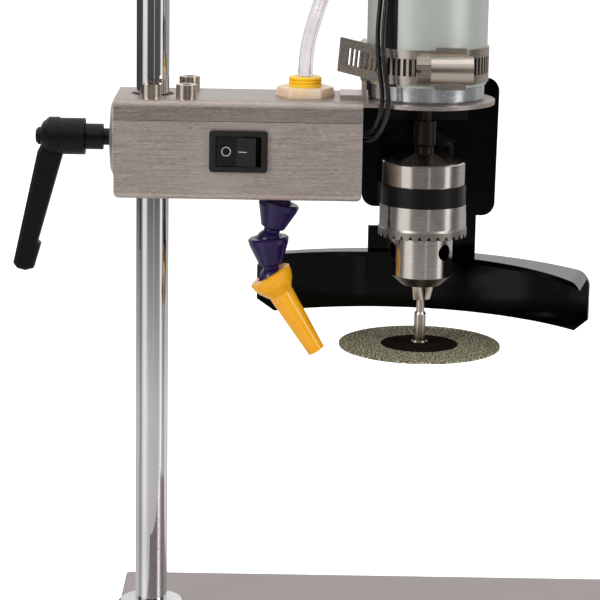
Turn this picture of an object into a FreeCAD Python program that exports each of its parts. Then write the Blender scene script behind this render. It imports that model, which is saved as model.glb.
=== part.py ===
"""Bench cutting stand: a small motor with a key chuck and a thin disc on a pole.

Lengths are in millimetres. The pole stands at (pole_x, pole_y), the stand rests on Z 0,
X runs along the arm from the pole to the motor, and Y runs to the back.
"""
import math
import os
import re

import FreeCAD
import Part
import Sketcher

SIZES = {
    # base and pole
    "pole_x": -69.2,
    "pole_y": 31.0,
    "base_length": 200.0,
    "base_width": 150.0,
    "base_thickness": 4.0,
    "base_left": 12.4,
    "base_back": 44.0,
    "base_corner": 2.0,
    "foot_diameter": 14.0,
    "foot_height": 3.0,
    "foot_inset": 14.0,
    "foot_taper": 1.6,
    "pole_diameter": 12.0,
    "pole_length": 300.0,
    "flange_diameter": 25.0,
    "flange_height": 4.0,
    "flange_chamfer": 1.0,
    "pole_screw_taper": 1.0,
    "pole_screw_recess": 0.6,
    "pole_cap_height": 5.0,
    "pole_cap_chamfer": 1.3,
    "slide_gap": 0.05,
    "bush_wall": 1.2,
    "bush_height": 9.0,
    # arm box
    "arm_rise": 162.0,
    "arm_left": 13.0,
    "arm_length": 89.5,
    "arm_width": 38.0,
    "arm_height": 36.0,
    "arm_wall": 1.2,
    "lid_sheet": 1.5,
    "lid_lip": 7.3,
    "lid_bend": 3.0,
    "lid_seam": 0.15,
    "arm_bend": 2.2,
    "pole_hole": 15.6,
    "block_length": 24.0,
    "block_gap": 0.1,
    "boss_diameter": 30.0,
    "boss_height": 2.0,
    "boss_rim": 0.8,
    "boss_slope": 2.8,
    "panel_gap": 0.1,
    "stud_room": 0.3,
    "clamp_screw_pitch": 12.9,
    "clamp_screw_row": 12.0,
    "screw_size": 4.0,
    "screw_head": 7.6,
    "screw_head_height": 4.4,
    "screw_socket": 3.0,
    "washer_diameter": 8.0,
    "washer_thickness": 0.6,
    "screw_grip": 12.0,
    "screw_socket_depth": 2.2,
    # clamp lever
    "lever_height": 19.7,
    "stud_diameter": 6.0,
    "stud_collar": 9.5,
    "stud_collar_length": 6.6,
    "stud_reach": 18.1,
    "hub_diameter": 13.4,
    "hub_length": 9.4,
    "spline_across": 8.0,
    "stem_diameter": 3.0,
    "head_length": 6.8,
    "head_shoulder": 0.35,
    "head_lap": 0.4,
    "head_round": 1.55,
    "button_diameter": 6.4,
    "button_height": 1.8,
    "button_chamfer": 0.9,
    "blade_reach": 1.9,
    "lever_drop": 51.2,
    "lever_lean": 14.0,
    "lever_root": 9.2,
    "lever_tip": 6.9,
    "lever_thickness": 7.0,
    "lever_heel": 1.9,
    "lever_bury": 1.0,
    "lever_edge": 1.5,
    "lever_tip_round": 1.6,
    "lever_nib": 1.3,
    "nib_start": 11.8,
    "nib_end": 11.0,
    "pad_length": 3.0,
    "pad_diameter": 5.0,
    "running_gap": 0.05,
    # switch and power socket
    "switch_reach": 32.0,
    "switch_height": 18.0,
    "bezel_length": 21.0,
    "bezel_height": 15.0,
    "bezel_depth": 1.6,
    "bezel_corner": 1.2,
    "switch_case_length": 18.8,
    "switch_case_height": 12.9,
    "switch_case_depth": 13.0,
    "rocker_half": 7.2,
    "rocker_height": 10.4,
    "rocker_throw": 10.0,
    "rocker_arm": 5.0,
    "rocker_edge": 1.4,
    "rocker_dip": 0.9,
    "rocker_waist": 2.6,
    "rocker_room": 1.0,
    "rocker_well": 8.4,
    "pivot_depth": 4.2,
    "rocker_gap": 0.3,
    "terminal_width": 4.8,
    "terminal_length": 7.0,
    "terminal_sheet": 0.8,
    "terminal_shift": 4.6,
    "terminal_rise": 3.0,
    "lead_hole": 8.0,
    "lead_row": 11.0,
    "lead_drop": 13.0,
    "lead_diameter": 1.7,
    "socket_inset": 14.5,
    "socket_diameter": 11.0,
    "socket_flange": 13.5,
    "socket_depth": 10.0,
    "socket_pin": 2.1,
    "socket_bore": 5.6,
    "socket_rim": 1.4,
    "pin_recess": 1.0,
    # water fittings
    "inlet_inset": 20.9,
    "outlet_inset": 30.1,
    "outlet_drop": 5.2,
    "outlet_stem": 7.2,
    "outlet_thread": 8.6,
    "outlet_flange": 10.4,
    "outlet_flange_height": 0.6,
    "inlet_stem": 7.0,
    "inlet_hex": 18.9,
    "inlet_hex_height": 3.4,
    "hex_dome_foot": 21.9,
    "hex_dome_top": 20.6,
    "inlet_nut_diameter": 12.0,
    "inlet_nut_height": 3.9,
    "inlet_nut_flange": 1.3,
    "inlet_nut_step": 0.9,
    "inlet_rib": 0.45,
    "inlet_rib_pitch": 1.1,
    "inlet_barb": 8.0,
    "hose_diameter": 5.2,
    "hose_bore": 3.0,
    "ball_diameter": 10.0,
    "ball_gap": 0.3,
    "link_pitch": 13.9,
    "link_cup": 15.2,
    "link_neck": 8.8,
    "link_bore": 3.2,
    "link_mouth": 2.0,
    "link_throat": 6.0,
    "link_skirt": 0.4,
    "link_floor": 3.4,
    "link_shoulder": 8.0,
    "link_step": 8.8,
    "link_stem": 10.4,
    "cup_lap": 1.0,
    "cup_chamfer": 0.6,
    "cup_draft": 0.3,
    "link_bend_first": 14.0,
    "link_bend_second": 20.0,
    "link_bend_nozzle": 26.0,
    "nozzle_length": 31.8,
    "nozzle_cup": 16.4,
    "nozzle_root": 9.4,
    "nozzle_tip": 6.6,
    "nozzle_shoulder": 6.2,
    "nozzle_wall": 1.1,
    "nozzle_bowl": 7.1,
    "nozzle_bowl_depth": 2.6,
    "outlet_nut": 14.0,
    "outlet_nut_height": 3.2,
    # tongue and motor
    "spindle_gap": 23.2,
    "tongue_radius": 25.2,
    "motor_diameter": 42.4,
    "motor_wall": 1.6,
    "motor_body": 57.0,
    "motor_end": 9.0,
    "can_round": 0.9,
    "end_step": 1.0,
    "end_rim": 3.6,
    "end_crown": 5.6,
    "end_slope": 4.0,
    "hub_wall": 1.6,
    "hub_cover": 1.4,
    "front_boss": 17.0,
    "front_boss_height": 3.6,
    "front_boss_gap": 0.2,
    "shaft_room": 0.6,
    "sleeve_sheet": 0.7,
    "sleeve_bottom": 6.0,
    "sleeve_height": 46.0,
    "shaft_diameter": 5.0,
    "bearing_diameter": 13.0,
    "bearing_width": 4.0,
    "magnet_thickness": 5.0,
    "magnet_bottom": 12.0,
    "magnet_lap": 1.0,
    "magnet_split": 12.0,
    "armature_gap": 0.6,
    "armature_length": 30.0,
    "armature_slot": 3.0,
    "armature_slot_depth": 5.2,
    "armature_slots": 5.0,
    "commutator_diameter": 14.0,
    "commutator_length": 9.0,
    "brush_diameter": 4.6,
    "brush_drop": 5.0,
    "brush_holder": 7.0,
    "brush_holder_length": 3.0,
    "motor_terminal_shift": 11.5,
    "motor_terminal_height": 7.5,
    "band_height": 12.6,
    "band_sheet": 0.7,
    "band_bottom": 7.0,
    "band_tail": 23.6,
    "tail_angle": 230.0,
    "tail_tilt": 6.0,
    "band_slots": 66.0,
    "band_slot_width": 1.2,
    "band_slot_margin": 3.2,
    "slots_from": 228.0,
    "slots_to": 345.0,
    "worm_from": 262.0,
    "worm_to": 312.0,
    "tail_slots": 9.0,
    "tail_slot_pitch": 2.1,
    "tail_margin": 5.4,
    "worm_diameter": 8.2,
    "worm_length": 15.0,
    "worm_wall": 1.0,
    "worm_head": 8.4,
    "worm_head_length": 5.0,
    "worm_slot_depth": 1.6,
    "worm_slot_width": 1.1,
    "worm_foot": 10.9,
    "worm_foot_lap": 1.2,
    "worm_shift": 7.6,
    "tab_width": 17.0,
    "tab_height": 20.4,
    "tab_sheet": 1.5,
    "tab_foot": 8.0,
    # splash guard
    "guard_plane": 25.6,
    "guard_sheet": 2.0,
    "guard_left": 22.1,
    "guard_right": 28.9,
    "guard_taper": 0.6,
    "guard_top": 4.4,
    "guard_drop": 45.1,
    "guard_corner": 5.0,
    "guard_skew": 2.9,
    "neck_left": 14.7,
    "neck_right": 21.5,
    "neck_drop": 52.6,
    "neck_step": 4.6,
    "visor_top_drop": 62.0,
    "visor_height": 22.5,
    "visor_radius": 88.0,
    "visor_half": 62.5,
    "visor_shift": 6.3,
    "visor_yaw": 13.0,
    "visor_chamfer": 5.5,
    "visor_round": 5.0,
    "lip_inner": 78.5,
    "lip_shift": 7.0,
    "bracket_width": 34.0,
    "bracket_leg": 10.0,
    "bracket_sheet": 2.0,
    "bolt_size": 3.0,
    "bolt_shift": 11.6,
    "bolt_drop": 6.0,
    "bolt_head": 5.8,
    "bolt_head_height": 2.0,
    "bolt_round": 0.6,
    "bolt_spare": 2.4,
    "bolt_nut": 5.5,
    "bolt_nut_height": 2.4,
    # spindle, chuck and disc
    "adapter_top": 6.9,
    "adapter_length": 8.6,
    "adapter_diameter": 8.3,
    "adapter_neck": 7.0,
    "adapter_stub": 14.0,
    "adapter_chamfer": 0.8,
    "adapter_floor": 1.0,
    "chuck_drop": 18.2,
    "chuck_ring_top": 3.4,
    "chuck_ring_bottom": 11.6,
    "chuck_ring": 30.6,
    "chuck_taper": 12.0,
    "sleeve_diameter": 32.0,
    "sleeve_top_gap": 0.2,
    "sleeve_band": 7.3,
    "sleeve_step": 0.8,
    "sleeve_foot": 1.8,
    "band_sink": 0.3,
    "ring_chamfer": 0.4,
    "sleeve_bore_gap": 0.1,
    "chuck_neck": 28.6,
    "chuck_waist": 26.8,
    "chuck_groove": 25.8,
    "nut_top": 23.2,
    "nut_height": 4.6,
    "nut_shoulder": 2.4,
    "nut_play": 0.2,
    "nut_kerf": 0.4,
    "teeth_top": 27.2,
    "teeth_bottom": 31.0,
    "teeth_chamfer": 0.8,
    "teeth_root": 2.0,
    "teeth_diameter": 32.6,
    "teeth_count": 30.0,
    "teeth_depth": 3.6,
    "teeth_inset": 2.2,
    "tooth_notch": 1.5,
    "tooth_rise": 1.9,
    "nose_diameter": 22.8,
    "nose_bottom": 46.0,
    "nose_tip": 49.7,
    "nose_tip_diameter": 14.4,
    "key_hole": 6.0,
    "key_hole_drop": 36.4,
    "key_hole_depth": 4.6,
    "key_hole_turn": 315.0,
    "chuck_bore": 6.6,
    "bore_cone": 1.5,
    "jaw_diameter": 4.0,
    "jaw_angle": 15.0,
    "jaw_offset": 3.0,
    "jaw_turn": 0.0,
    "jaw_tip": 55.4,
    "jaw_top": 26.0,
    "jaw_room": 6.2,
    "jaw_gap": 0.08,
    "jaw_spare": 3.0,
    "jaw_nose": 3.6,
    "jaw_flare": 8.6,
    "jaw_flare_height": 8.0,
    "jaw_shoulder": 12.0,
    "shank_diameter": 3.0,
    "shank_gap": 0.03,
    "shank_top": 38.0,
    "shank_bottom": 60.3,
    "mandrel_diameter": 4.4,
    "mandrel_bottom": 72.5,
    "collar_diameter": 6.0,
    "collar_height": 1.4,
    "collar_rim": 0.85,
    "shank_step": 0.8,
    "disc_diameter": 60.0,
    "disc_thickness": 0.8,
    "disc_bore": 3.2,
    "disc_screw_head": 7.4,
    "disc_screw_foot": 6.0,
    "disc_screw_height": 1.6,
    "disc_screw_shank": 2.0,
    "disc_screw_depth": 4.4,
    "disc_screw_room": 0.6,
    "disc_slot_width": 0.8,
    "disc_slot_depth": 0.7,
}

doc = FreeCAD.newDocument("cutting_stand")
sheet = doc.addObject("Spreadsheet::Sheet", "sizes")
for row, (alias, number) in enumerate(SIZES.items(), start=1):
    sheet.set(f"A{row}", alias)
    sheet.set(f"B{row}", str(number))
    sheet.setAlias(f"B{row}", alias)
doc.recompute()

NODES = {}

POLE_X = "pole_x"
POLE_Y = "pole_y"
BASE_TOP = "(foot_height + base_thickness)"
ARM_Z = f"({BASE_TOP} + arm_rise)"
ARM_TOP = f"({ARM_Z} + arm_height)"
PLATE_Z = f"({ARM_TOP} - lid_sheet)"
ARM_LEFT = "(pole_x - arm_left)"
ARM_RIGHT = "(pole_x - arm_left + arm_length)"
ARM_FRONT = "(pole_y - arm_width / 2)"
ARM_BACK = "(pole_y + arm_width / 2)"
SPINDLE_X = f"({ARM_RIGHT} + spindle_gap)"
INLET_X = f"({ARM_RIGHT} - inlet_inset)"
OUTLET_X = f"({ARM_RIGHT} - outlet_inset)"
SOCKET_X = f"({ARM_RIGHT} - socket_inset)"
SWITCH_X = "(pole_x + switch_reach)"
CHUCK_Z = f"({PLATE_Z} - chuck_drop)"
LEVER_Z = f"({ARM_Z} + lever_height)"

X_AXIS = FreeCAD.Vector(1, 0, 0)
Y_AXIS = FreeCAD.Vector(0, 1, 0)
Z_AXIS = FreeCAD.Vector(0, 0, 1)
TURNS = {
    "Z": FreeCAD.Rotation(),
    "X": FreeCAD.Rotation(Y_AXIS, 90),
    "Y": FreeCAD.Rotation(X_AXIS, -90),
    "-X": FreeCAD.Rotation(Y_AXIS, -90),
    "-Y": FreeCAD.Rotation(X_AXIS, 90),
    "-Z": FreeCAD.Rotation(X_AXIS, 180),
}


def cell(text):
    """An expression with each size's name pointed at its cell."""
    return re.sub(r"[a-z]\w*", lambda found: f"sizes.{found[0]}" if found[0] in SIZES else found[0], text)


def value(text):
    """The number that an expression gives with the sizes as they stand."""
    return float(sheet.evalExpression(cell(text)))


def bind(item, **settings):
    """Tie properties of an object to expressions."""
    for name, text in settings.items():
        item.setExpression(name.replace("__", "."), cell(text))
    return item


def place(item, spot=("0", "0", "0"), turn="Z"):
    """Turn an object, a named turn or a rotation, and bind its position."""
    rotation = TURNS[turn] if isinstance(turn, str) else turn
    item.Placement = FreeCAD.Placement(FreeCAD.Vector(), rotation)
    for letter, text in zip("xyz", spot):
        item.setExpression(f"Placement.Base.{letter}", cell(text))
    return item


def cylinder(diameter, height, spot, turn="Z"):
    item = doc.addObject("Part::Cylinder", "rod")
    bind(item, Radius=f"({diameter}) / 2", Height=height)
    return place(item, spot, turn)


def cone(lower, upper, height, spot, turn="Z"):
    item = doc.addObject("Part::Cone", "cone")
    bind(item, Radius1=f"({lower}) / 2", Radius2=f"({upper}) / 2", Height=height)
    return place(item, spot, turn)


def ball(diameter, spot):
    item = doc.addObject("Part::Sphere", "ball")
    bind(item, Radius=f"({diameter}) / 2")
    return place(item, spot)


def box(length, width, height, spot, turn="Z"):
    """A box from its lowest corner."""
    item = doc.addObject("Part::Box", "block")
    bind(item, Length=length, Width=width, Height=height)
    return place(item, spot, turn)


def prism(sides, across, height, spot, turn="Z"):
    """A regular prism, across its flats."""
    item = doc.addObject("Part::Prism", "prism")
    item.Polygon = sides
    bind(item, Circumradius=f"({across}) / 2 / cos(180 / {sides})", Height=height)
    return place(item, spot, turn)


def cut(base, *tools):
    item = doc.addObject("Part::Cut", "cut")
    item.Base = base
    item.Tool = tools[0] if len(tools) == 1 else group(*tools)
    return item


def fuse(*parts):
    item = doc.addObject("Part::MultiFuse", "fuse")
    item.Shapes = list(parts)
    item.Refine = True
    return item


def common(*parts):
    item = doc.addObject("Part::MultiCommon", "common")
    item.Shapes = list(parts)
    return item


def group(*parts):
    item = doc.addObject("Part::Compound", "group")
    item.Links = list(parts)
    return item


def rounded(base, radius, chosen):
    """Fillet the edges that the test picks."""
    doc.recompute()
    item = doc.addObject("Part::Fillet", "rounding")
    item.Base = base
    size = value(radius)
    edges = enumerate(base.Shape.Edges, start=1)
    item.Edges = [(number, size, size) for number, edge in edges if chosen(edge)]
    return item


def along(edge, axis):
    """Whether an edge is a straight line along an axis."""
    if len(edge.Vertexes) < 2 or not isinstance(edge.Curve, Part.Line):
        return False
    step = edge.Vertexes[1].Point - edge.Vertexes[0].Point
    return abs(abs(step.dot(axis)) - step.Length) < 1e-6


def outline(body, role, points):
    """A closed sketch through points given as pairs of expressions."""
    sketch = body.newObject("Sketcher::SketchObject", "outline")
    planes = {feature.Role: feature for feature in body.Origin.OriginFeatures}
    sketch.AttachmentSupport = [(planes[role], "")]
    sketch.MapMode = "FlatFace"
    spots = [(value(across), value(up)) for across, up in points]
    count = len(spots)
    for index, (across, up) in enumerate(spots):
        following = spots[(index + 1) % count]
        start = FreeCAD.Vector(across, up, 0)
        end = FreeCAD.Vector(following[0], following[1], 0)
        sketch.addGeometry(Part.LineSegment(start, end))
    for index in range(count):
        sketch.addConstraint(Sketcher.Constraint("Coincident", index, 2, (index + 1) % count, 1))
    for index, (spot, pair) in enumerate(zip(spots, points)):
        for kind, number, text in zip("XY", spot, pair):
            constraint = Sketcher.Constraint(f"Distance{kind}", -1, 1, index, 1, number)
            name = f"{kind.lower()}{index}"
            sketch.renameConstraint(sketch.addConstraint(constraint), name)
            sketch.setExpression(f"Constraints.{name}", cell(text))
    return sketch


def turned(points, spot, turn="Z"):
    """A turned piece: its profile as (radius, height) pairs, revolved about its own Z."""
    body = doc.addObject("PartDesign::Body", "turning")
    sketch = outline(body, "XZ_Plane", points)
    revolution = body.newObject("PartDesign::Revolution", "revolution")
    revolution.Profile = sketch
    revolution.ReferenceAxis = (sketch, ["V_Axis"])
    revolution.Angle = 360
    return place(body, spot, turn)


def plate(points, thickness, spot, turn="Z"):
    """A flat piece: its outline as (x, y) pairs, padded up its own Z."""
    body = doc.addObject("PartDesign::Body", "sheet")
    pad = body.newObject("PartDesign::Pad", "pad")
    pad.Profile = outline(body, "XY_Plane", points)
    pad.setExpression("Length", cell(thickness))
    return place(body, spot, turn)


def node(name, item):
    """Give a sub-part its own name."""
    item.Label = name
    NODES[name] = item
    return item


def shaped(name, shape):
    """A sub-part whose shape is worked out here from the sizes."""
    item = doc.addObject("Part::Feature", "shape")
    item.Shape = shape
    return node(name, item)


def around(number, radius, start=0.0):
    """Points on a circle: angle and place of each of a number of them."""
    for index in range(number):
        angle = math.radians(start + 360.0 * index / number)
        yield math.degrees(angle), radius * math.cos(angle), radius * math.sin(angle)


def cap_screw(spot, grip, turn="Z"):
    """A socket head screw, its head's underside at the spot and its shank below."""
    x, y, z = spot
    head = cylinder("screw_head", "screw_head_height", spot)
    shank = cylinder("screw_size", grip, (x, y, f"{z} - ({grip})"))
    socket = prism(6, "screw_socket", "screw_head_height", (x, y, f"{z} + screw_head_height - screw_socket_depth"))
    return cut(fuse(head, shank), socket)


def make_stand():
    left = "(pole_x - base_left)"
    front = "(pole_y + base_back - base_width)"
    sheet_metal = box("base_length", "base_width", "base_thickness", (left, front, "foot_height"))
    blank = rounded(sheet_metal, "base_corner", lambda edge: along(edge, Z_AXIS))
    seat = cylinder("screw_size + slide_gap * 2", "base_thickness", (POLE_X, POLE_Y, "foot_height"))
    node("base_plate", cut(blank, seat))
    feet = []
    for side in ("foot_inset", "base_length - foot_inset"):
        for depth in ("foot_inset", "base_width - foot_inset"):
            spot = (f"{left} + {side}", f"{front} + {depth}", "0")
            feet.append(cone("foot_diameter - foot_taper", "foot_diameter", "foot_height", spot))
    node("base_feet", group(*feet))
    node("pole_flange", turned([
        ("pole_diameter / 2", "0"),
        ("flange_diameter / 2", "0"),
        ("flange_diameter / 2", "flange_height - flange_chamfer"),
        ("flange_diameter / 2 - flange_chamfer", "flange_height"),
        ("pole_diameter / 2", "flange_height"),
    ], (POLE_X, POLE_Y, BASE_TOP)))
    rod = cylinder("pole_diameter", "pole_length", (POLE_X, POLE_Y, BASE_TOP))
    thread = cylinder("screw_size", "screw_grip", (POLE_X, POLE_Y, BASE_TOP))
    node("pole", cut(rod, thread))
    head = cone("screw_head", "screw_head - pole_screw_taper", "foot_height - pole_screw_recess",
                (POLE_X, POLE_Y, "pole_screw_recess"))
    shank = cylinder("screw_size", "base_thickness + screw_grip", (POLE_X, POLE_Y, "foot_height"))
    node("pole_screw", fuse(head, shank))
    node("pole_cap", turned([
        ("0", "0"),
        ("pole_diameter / 2", "0"),
        ("pole_diameter / 2", "pole_cap_height - pole_cap_chamfer"),
        ("pole_diameter / 2 - pole_cap_chamfer", "pole_cap_height"),
        ("0", "pole_cap_height"),
    ], (POLE_X, POLE_Y, f"{BASE_TOP} + pole_length")))


def make_arm():
    inner_z = f"{ARM_Z} + arm_wall"
    shell = box("arm_length", "arm_width", "arm_height - lid_lip - lid_seam", (ARM_LEFT, ARM_FRONT, ARM_Z))
    bottom = value(ARM_Z)

    def lower_edge(edge):
        return abs(edge.CenterOfMass.z - bottom) < 1e-6

    shell = rounded(shell, "arm_bend", lower_edge)
    room = box("arm_length - arm_wall * 2", "arm_width - arm_wall * 2", "arm_height",
               (f"{ARM_LEFT} + arm_wall", f"{ARM_FRONT} + arm_wall", inner_z))
    pole_way = cylinder("pole_hole", "arm_wall * 4", (POLE_X, POLE_Y, f"{ARM_Z} - arm_wall"))
    stud_way = cylinder("stud_diameter + stud_room * 2", "arm_wall * 4",
                        (f"{ARM_LEFT} - arm_wall", POLE_Y, LEVER_Z), "X")
    switch_way = box("switch_case_length + panel_gap * 2", "arm_wall * 4", "switch_case_height + panel_gap * 2",
                     (f"{SWITCH_X} - switch_case_length / 2 - panel_gap",
                      f"{ARM_FRONT} - arm_wall",
                      f"{ARM_Z} + switch_height - switch_case_height / 2 - panel_gap"))
    socket_way = cylinder("socket_diameter", "arm_wall * 4", (SOCKET_X, f"{ARM_BACK} - arm_wall * 2", LEVER_Z), "Y")
    outlet_way = cylinder("outlet_thread + panel_gap * 2", "arm_wall * 4", (OUTLET_X, POLE_Y, f"{ARM_Z} - arm_wall"))
    lead_way = cylinder("lead_hole", "arm_wall * 4",
                        (f"{ARM_RIGHT} - arm_wall * 2", "pole_y - lead_row", f"{ARM_TOP} - lead_drop"), "X")
    node("arm_housing", cut(shell, room, pole_way, stud_way, switch_way, socket_way, outlet_way, lead_way))

    cap = box("arm_length", "arm_width", "lid_lip", (ARM_LEFT, ARM_FRONT, f"{ARM_TOP} - lid_lip"))
    top = value(ARM_TOP)

    def upper_edge(edge):
        return along(edge, X_AXIS) and abs(edge.CenterOfMass.z - top) < 1e-6

    cap = rounded(cap, "lid_bend", upper_edge)
    under = box("arm_length", "arm_width - lid_sheet * 2", "lid_lip - lid_sheet",
                (ARM_LEFT, f"{ARM_FRONT} + lid_sheet", f"{ARM_TOP} - lid_lip"))
    bridge = box("spindle_gap", "arm_width", "lid_sheet", (ARM_RIGHT, ARM_FRONT, PLATE_Z))
    tongue = cylinder("tongue_radius * 2", "lid_sheet", (SPINDLE_X, POLE_Y, PLATE_Z))
    holes = [
        cylinder("pole_hole", "lid_sheet * 3", (POLE_X, POLE_Y, f"{PLATE_Z} - lid_sheet")),
        cylinder("front_boss + front_boss_gap * 2", "lid_sheet * 3", (SPINDLE_X, POLE_Y, f"{PLATE_Z} - lid_sheet")),
        cylinder("inlet_barb + panel_gap * 2", "lid_sheet * 3", (INLET_X, POLE_Y, f"{PLATE_Z} - lid_sheet")),
    ]
    for x, y in screw_spots():
        holes.append(cylinder("screw_size + panel_gap * 2", "lid_sheet * 3", (x, y, f"{PLATE_Z} - lid_sheet")))
    node("arm_lid", cut(fuse(cut(cap, under), bridge, tongue), *holes))

    node("end_boss", turned([
        ("stud_diameter / 2 + stud_room", "0"),
        ("boss_diameter / 2", "0"),
        ("boss_diameter / 2", "boss_rim"),
        ("boss_diameter / 2 - boss_slope", "boss_height"),
        ("stud_diameter / 2 + stud_room", "boss_height"),
    ], (ARM_LEFT, POLE_Y, LEVER_Z), "-X"))

    screws = []
    for x, y in screw_spots():
        washer = cut(cylinder("washer_diameter", "washer_thickness", (x, y, ARM_TOP)),
                     cylinder("screw_size", "washer_thickness", (x, y, ARM_TOP)))
        screws += [cap_screw((x, y, f"{ARM_TOP} + washer_thickness"), "screw_grip"), washer]
    node("clamp_screws", group(*screws))


def screw_spots():
    """The four screws that hold the lid on the clamp block."""
    for shift in ("0", "clamp_screw_pitch"):
        for row in ("0 - clamp_screw_row", "clamp_screw_row"):
            yield f"pole_x + {shift}", f"pole_y + {row}"


def make_clamp_block():
    block_left = f"({ARM_LEFT} + arm_wall + block_gap)"
    block_width = "(arm_width - arm_wall * 2 - block_gap * 2)"
    block_height = "(arm_height - arm_wall - lid_sheet)"
    blank = box("block_length + clamp_screw_pitch / 2", block_width, "arm_height - arm_wall - lid_lip - lid_seam",
                (block_left, f"{ARM_FRONT} + arm_wall + block_gap", f"{ARM_Z} + arm_wall"))
    crown = box("block_length + clamp_screw_pitch / 2", "arm_width - lid_sheet * 2 - block_gap * 2", block_height,
                (block_left, f"{ARM_FRONT} + lid_sheet + block_gap", f"{ARM_Z} + arm_wall"))
    bore = cylinder("pole_diameter + slide_gap * 2 + bush_wall * 2 + slide_gap * 2", block_height,
                    (POLE_X, POLE_Y, f"{ARM_Z} + arm_wall"))
    stud_way = cylinder("stud_diameter + running_gap * 2", "arm_left - arm_wall", (block_left, POLE_Y, LEVER_Z), "X")
    threads = [cylinder("screw_size", "screw_grip", (x, y, f"{PLATE_Z} - screw_grip")) for x, y in screw_spots()]
    node("clamp_block", cut(fuse(blank, crown), bore, stud_way, *threads))

    pad_start = "pole_x - pole_diameter / 2 - slide_gap - pad_length"
    rings = []
    for base in (f"{ARM_Z} + arm_wall + slide_gap", f"{PLATE_Z} - slide_gap - bush_height"):
        rings.append(turned([
            ("pole_diameter / 2 + slide_gap", "0"),
            ("pole_diameter / 2 + slide_gap + bush_wall", "0"),
            ("pole_diameter / 2 + slide_gap + bush_wall", "bush_height"),
            ("pole_diameter / 2 + slide_gap", "bush_height"),
        ], (POLE_X, POLE_Y, base)))
    node("pole_bushes", group(*rings))
    node("pressure_pad", cylinder("pad_diameter", "pad_length", (pad_start, POLE_Y, LEVER_Z), "X"))


def make_lever():
    pad_start = "(pole_x - pole_diameter / 2 - slide_gap - pad_length)"
    collar_start = "(pole_x - stud_reach)"
    shank_length = "stud_reach - pole_diameter / 2 - slide_gap - pad_length"
    shank = cylinder("stud_diameter", shank_length, (pad_start, POLE_Y, LEVER_Z), "-X")
    collar = cylinder("stud_collar", "stud_collar_length", (collar_start, POLE_Y, LEVER_Z), "-X")
    hub_start = f"({collar_start} - stud_collar_length)"
    spline = prism(12, "spline_across", "hub_length", (hub_start, POLE_Y, LEVER_Z), "-X")
    stem = cylinder("stem_diameter", "head_length", (f"{hub_start} - hub_length", POLE_Y, LEVER_Z), "-X")
    node("lever_screw", fuse(shank, collar, spline, stem))

    hub = turned([
        ("0", "0"),
        ("hub_diameter / 2", "0"),
        ("hub_diameter / 2", "hub_length - head_lap"),
        ("hub_diameter / 2 + head_shoulder", "hub_length"),
        ("hub_diameter / 2 + head_shoulder", "hub_length + head_length - head_round * 2"),
        ("hub_diameter / 2 - head_round", "hub_length + head_length - head_round / 2"),
        ("hub_diameter / 2 - head_round * 2", "hub_length + head_length"),
        ("0", "hub_length + head_length"),
    ], (f"{hub_start} - running_gap", POLE_Y, LEVER_Z), "-X")
    lean = math.radians(value("lever_lean"))
    down = FreeCAD.Vector(-math.sin(lean), 0, -math.cos(lean))
    outward = FreeCAD.Vector(-math.cos(lean), 0, math.sin(lean))
    hanging = FreeCAD.Rotation(outward, down, outward.cross(down), "XYZ")
    blade = plate([
        ("0 - lever_root / 2 + lever_heel", "0 - lever_bury"),
        ("0 - lever_root / 2", "hub_diameter / 2 - lever_bury"),
        ("0 - lever_tip / 2", "lever_drop - nib_start"),
        ("0 - lever_tip / 2 - lever_nib", "lever_drop - nib_end"),
        ("0 - lever_tip / 2 - lever_nib * 0.7", "lever_drop - lever_tip_round"),
        ("0 - lever_tip / 2 + lever_heel", "lever_drop"),
        ("lever_tip / 2 - lever_heel", "lever_drop"),
        ("lever_tip / 2", "lever_drop - lever_tip_round"),
        ("lever_root / 2", "hub_diameter / 2"),
        ("lever_root / 2 - lever_heel", "0 - lever_bury"),
    ], "lever_thickness", (f"{hub_start} - hub_length - blade_reach", "pole_y + lever_thickness / 2", LEVER_Z),
        hanging)
    soft_blade = rounded(blade, "lever_edge", lambda edge: not along(edge, Y_AXIS))
    socket = prism(12, "spline_across + running_gap * 2", "hub_length + running_gap * 2",
                   (hub_start, POLE_Y, LEVER_Z), "-X")
    stem_way = cylinder("stem_diameter + running_gap * 2", "hub_length + head_length * 2",
                        (hub_start, POLE_Y, LEVER_Z), "-X")
    node("lever_handle", cut(fuse(hub, soft_blade), socket, stem_way))
    node("lever_button", turned([
        ("0", "0"),
        ("button_diameter / 2", "0"),
        ("button_diameter / 2", "button_height - button_chamfer"),
        ("button_diameter / 2 - button_chamfer", "button_height"),
        ("0", "button_height"),
    ], (f"{hub_start} - hub_length - head_length - running_gap", POLE_Y, LEVER_Z), "-X"))


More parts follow.
